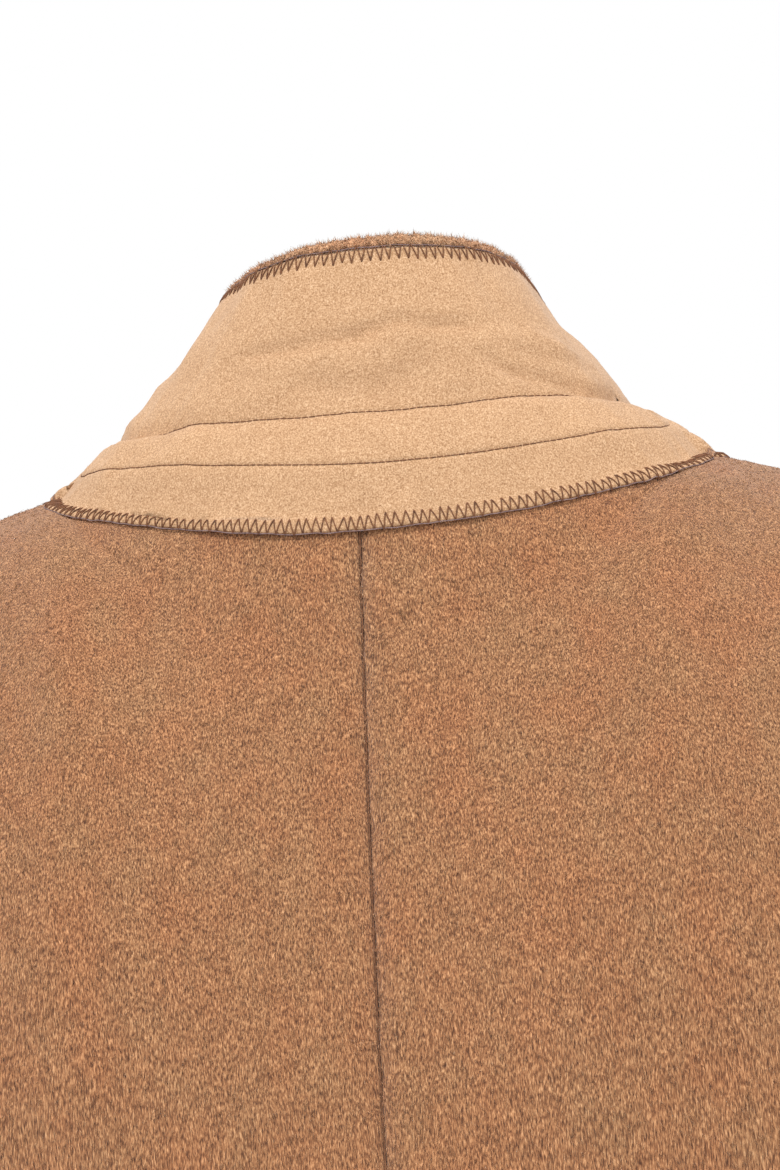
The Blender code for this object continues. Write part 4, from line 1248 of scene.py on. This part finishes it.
def make_button(number, z, finish, thread_finish):
    """(button, thread): a turned button, sewn on crosswise through its four holes."""
    place, out = button_seat(z)
    side = unit(np.cross(out, np.array([0.0, 0.0, 1.0])))
    up = np.cross(side, out)
    angle = turns(BUTTON_FINE_SIDES)[:, None]
    radii, heights = np.array(BUTTON_FINE_PROFILE).T[:, :, None, None]
    rings = place + radii * (side * np.cos(angle) - up * np.sin(angle)) + heights * out
    faces = tube_faces(len(rings), BUTTON_FINE_SIDES, 0)
    button = new_object(f"button_{number}", rings.reshape(-1, 3), faces, finish)
    lines = []
    for across, high in ((-1, -1), (-1, 1), (1, -1), (1, 1)):
        hole = place + side * across * HOLE_OFFSET + up * high * HOLE_OFFSET + out * BUTTON_HOLE_UP
        middle = place + out * BUTTON_CROSS_UP
        arch = (hole + middle) / 2 + out * BUTTON_THREAD_ARCH
        points = np.array([hole, arch, middle + side * across * BUTTON_CROSS_WIDTH])
        lines.append((points, np.array([out] * 3)))
    return button, tubes(f"button_thread_{number}", lines, BUTTON_THREAD, BUTTON_THREAD_SIDES, thread_finish)


# ---- Materials


def feed(tree, node, inputs):
    """Sets a node's inputs: each is a value, or the output that feeds it."""
    for name, value in inputs.items():
        if isinstance(value, bpy.types.NodeSocket):
            tree.links.new(value, node.inputs[name])
        else:
            node.inputs[name].default_value = value
    return node


def add(tree, kind, inputs):
    return feed(tree, tree.nodes.new("ShaderNode" + kind), inputs)


def noise(tree, sizes, detail, roughness):
    """Noise over object coordinates, whose grains have the given sizes in metres."""
    place = add(tree, "TexCoord", {}).outputs["Object"]
    mapped = add(tree, "Mapping", {"Vector": place, "Scale": [1 / size for size in sizes]}).outputs["Vector"]
    inputs = {"Vector": mapped, "Scale": 1.0, "Detail": detail, "Roughness": roughness}
    return add(tree, "TexNoise", inputs).outputs["Fac"]


def colours(tree, value, stops):
    found = add(tree, "ValToRGB", {"Fac": value})
    while len(found.color_ramp.elements) < len(stops):
        found.color_ramp.elements.new(0.5)
    for element, (place, colour) in zip(found.color_ramp.elements, stops):
        element.position = place
        element.color = (*colour, 1.0)
    return found.outputs["Color"]


def multiplied(tree, first, second):
    found = tree.nodes.new("ShaderNodeMix")
    found.data_type = "RGBA"
    found.blend_type = "MULTIPLY"
    return feed(tree, found, {MIX_FACTOR: 1.0, MIX_FIRST: first, MIX_SECOND: second}).outputs[MIX_RESULT]


def linear(colour):
    """An sRGB colour of 0 to 255 as linear light."""
    shares = np.array(colour) / 255
    return np.where(shares <= 0.04045, shares / 12.92, ((shares + 0.055) / 1.055) ** 2.4)


def finish_of(name, stops, grain, surface, casts=(), bump=None):
    """A material: a grain coloured by the stops, casts over it, shader inputs, and a bump of the grain."""
    made = bpy.data.materials.new(name)
    made.use_nodes = True
    tree = made.node_tree
    value = noise(tree, *grain)
    colour = colours(tree, value, [(place, linear(rgb)) for place, rgb in stops])
    for cast, factors in casts:
        colour = multiplied(tree, colour, colours(tree, noise(tree, *cast), factors))
    inputs = {"Base Color": colour, **surface}
    if bump:
        raised = add(tree, "Bump", {"Height": value, "Strength": bump[0], "Distance": bump[1]})
        inputs["Normal"] = raised.outputs["Normal"]
    feed(tree, tree.nodes["Principled BSDF"], inputs)
    return made


# ---- Stage, light and camera


def area_light(name, place, aim, size, power):
    data = bpy.data.lights.new(name, "AREA")
    data.shape = "DISK"
    data.size = size
    data.energy = power
    made = bpy.data.objects.new(name, data)
    made.location = place
    made.rotation_euler = (Vector(aim) - Vector(place)).to_track_quat("-Z", "Y").to_euler()
    bpy.context.scene.collection.objects.link(made)


def make_stage():
    angle = turns(FLOOR_SIDES)
    rim = np.stack([FLOOR_RADIUS * np.cos(angle), FLOOR_RADIUS * np.sin(angle), FLOOR_Z + 0 * angle], axis=-1)
    white = finish_of("floor_white", FLOOR_STOPS, FLOOR_GRAIN, FLOOR_SURFACE)
    new_object("floor", rim, [tuple(range(FLOOR_SIDES))], white)
    world = bpy.data.worlds.new("studio")
    bpy.context.scene.world = world
    world.use_nodes = True
    tree = world.node_tree
    heading = add(tree, "SeparateXYZ", {"Vector": add(tree, "TexCoord", {}).outputs["Generated"]})
    total = tree.nodes.new("ShaderNodeMath")
    total.operation = "ADD"
    for number, (axis, (start, at_start), (end, at_end)) in enumerate(WORLD):
        ends = {"From Min": start, "From Max": end, "To Min": at_start, "To Max": at_end}
        spread = add(tree, "MapRange", {"Value": heading.outputs[axis], **ends})
        feed(tree, total, {number: spread.outputs["Result"]})
    feed(tree, tree.nodes["Background"], {"Color": (1, 1, 1, 1), "Strength": total.outputs["Value"]})


def make_camera():
    out = np.array([math.sin(CAMERA_AZIMUTH), -math.cos(CAMERA_AZIMUTH), 0.0])
    right = np.array([math.cos(CAMERA_AZIMUTH), math.sin(CAMERA_AZIMUTH), 0.0])
    up = np.array([0.0, 0.0, 1.0])
    aim = np.array(CAMERA_TARGET) + right * AIM_RIGHT + up * AIM_UP
    data = bpy.data.cameras.new("camera")
    data.sensor_fit = "VERTICAL"
    data.sensor_height = SENSOR_HEIGHT
    data.lens = SENSOR_HEIGHT * CAMERA_DISTANCE / FRAME_HEIGHT
    data.clip_end = FARTHEST
    made = bpy.data.objects.new("camera", data)
    turned = Matrix((right, up, out)).transposed().to_4x4()
    roll = Matrix.Rotation(-CAMERA_ROLL, 4, "Z")
    made.matrix_world = Matrix.Translation(Vector(aim + out * CAMERA_DISTANCE)) @ turned @ roll
    bpy.context.scene.collection.objects.link(made)
    bpy.context.scene.camera = made


# ---- The whole scene


def outer_area(piece):
    """Half of a thin closed shell's area: one side of the cloth."""
    areas = np.empty(len(piece.data.polygons))
    piece.data.polygons.foreach_get("area", areas)
    return float(areas.sum()) / 2


def put_on(piece, node=None):
    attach(piece, "root")
    if node:
        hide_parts(node)


def near_collar(points):
    """1 where the nap is drawn in full, round the collar, fading to 0 down the back and to the sides."""
    return ramp(*NAP_REACH_X, np.abs(points[..., 0])) * ramp(*NAP_REACH_Z, points[..., 2])


def nap_over(name, points, normals, count, density, way, sizes, seeds, finish):
    spots = scatter(points, normals, count, density, way, seeds[0])
    return fibres(name, spots, sizes, seeds[1], finish)


def main():
    wool, nap_wool_painted_light, rim_wool_painted_light = (
        finish_of(name, stops, grain, WOOL_SURFACE, WOOL_CASTS, WOOL_BUMP)
        for name, stops, grain in (
            ("brushed_wool", WOOL_STOPS, WOOL_GRAIN),
            ("wool_nap_painted_light", NAP_STOPS_WITH_PAINTED_LIGHT, NAP_GRAIN),
            ("rim_wool_painted_light", RIM_PAINTED_LIGHT_STOPS, RIM_GRAIN),
        )
    )
    felt_look = finish_of("collar_felt", FELT_STOPS, FELT_GRAIN, FELT_SURFACE, FELT_CASTS, FELT_BUMP)
    horn = finish_of("horn", HORN_STOPS, HORN_GRAIN, HORN_SURFACE)
    brown_thread = finish_of("brown_thread", BROWN_STOPS, BROWN_GRAIN, THREAD_SURFACE)
    lilac_line = finish_of("lilac_edge_line", LILAC_STOPS, LILAC_GRAIN, THREAD_SURFACE)

    sheets, panels = [], []
    for side, word in ((1, "left"), (-1, "right")):
        front = [partial(surface, layer=side) for surface in (front_lower, front_upper)]
        for half, surfaces, columns, count, cut, seeds in (
            ("back", (back_lower, back_upper), BACK_COLUMNS, NAP_BACK, BACK_CUT, BACK_SEEDS),
            ("front", front, FRONT_COLUMNS, NAP_FRONT, FRONT_CUT, FRONT_SEEDS),
        ):
            seeds = [seed + side for seed in seeds]
            node = f"{half}_{word}"
            cloth, points, normals = make_panel(f"{node}_cloth", *surfaces, side, columns, seeds[0], wool)
            panels.append(points)
            density = near_collar(points)
            # The fibres take the lighter wool: painted light on the raised nap
            nap = nap_over(f"{node}_nap", points, normals, count, density, -1, WOOL_NAP, seeds[1:], nap_wool_painted_light)
            sheets.append((cloth, node, cut, "hung", [nap]))
        lapel = make_lapel(side, f"lapel_{word}_cloth", wool)
        sheets.append((lapel, f"lapel_{word}", LEFT_LAPEL_CUT if side > 0 else RIGHT_LAPEL_CUT, "folded", []))
        nodes = (f"top_sleeve_{word}", f"under_sleeve_{word}")
        for piece, node, cut in zip(make_sleeve(side, nodes, wool), nodes, SLEEVE_CUTS):
            sheets.append((piece, node, cut, "hung", []))

    # A dark brown tube along the bottom of the centre back seam's groove: painted shadow of the seam, in the
    # thread's colour
    middle = panels[0][:, 0].copy()
    middle[:, 0] = 0
    outward = np.tile((0.0, 1.0, 0.0), (len(middle), 1))
    seam = tubes("centre_back_seam_shadow_line", [(middle, outward)], SEAM_SHADOW_LINE, THREAD_SIDES, brown_thread)
    sheets[0][-1].append(seam)

    felt = Felt(tree_of(panels))
    felt_piece = make_felt(felt, felt_look)
    # The top collar and its rim nap take the lighter wool: painted light on the rim
    top_collar, over, over_normals = make_top_collar(felt, rim_wool_painted_light)
    naps = [
        nap_over(name, points, normals, count, np.ones(points.shape[:2]), 1, sizes, seeds, look)
        for name, points, normals, count, sizes, seeds, look in (
            ("rim_nap", over, over_normals, NAP_RIM, RIM_NAP, RIM_NAP_SEEDS, rim_wool_painted_light),
            ("felt_nap", felt.points, felt.normals, NAP_FELT, FELT_NAP, FELT_NAP_SEEDS, felt_look),
        )
    ]

    def over_top(lift):
        """The way of the felt's top edge at a station, and lift more."""
        return lambda station: float(np.interp(station, felt.stations, felt.top)) + lift

    sewing = [
        zigzag(felt, "lower_zigzag", lambda s: ZIGZAG_LOW, lambda s: ZIGZAG_HIGH, brown_thread),
        lilac_edge_line(felt, "lower_lilac_line", lambda s: 0.0, lilac_line),
        zigzag(felt, "upper_zigzag", over_top(TOP_ZIGZAG_OVER), over_top(-TOP_ZIGZAG_IN), brown_thread),
        lilac_edge_line(felt, "upper_lilac_line", over_top(EDGE_STRAY), lilac_line),
        stitch_row(felt, "stand_stitches", STAND_ROW, STAND_ROW_END, HIDDEN_STAND_ROW, brown_thread),
        stitch_row(felt, "crease_stitches", CREASE_ROW, CREASE_ROW_END, HIDDEN_CREASE_ROW, brown_thread),
    ]
    sheets.append((felt_piece, "undercollar", FELT_CUT, "folded", sewing + naps[1:]))
    sheets.append((top_collar, "top_collar", TOP_COLLAR_CUT, "folded", naps[:1]))

    for number, z in enumerate(BUTTON_HEIGHTS, start=1):
        button, thread = make_button(number, z, horn, brown_thread)
        put_on(button, f"button_{number}")
        put_on(thread)

    for cloth, node, cut, held, extras in sheets:
        put_on(cloth, node)
        for extra in extras:
            put_on(extra)
        area = CUT_ALLOWANCE * outer_area(cloth)

    make_stage()
    for light in LIGHTS:
        area_light(*light)
    make_camera()
    bpy.context.scene.view_settings.view_transform = "Standard"


main()
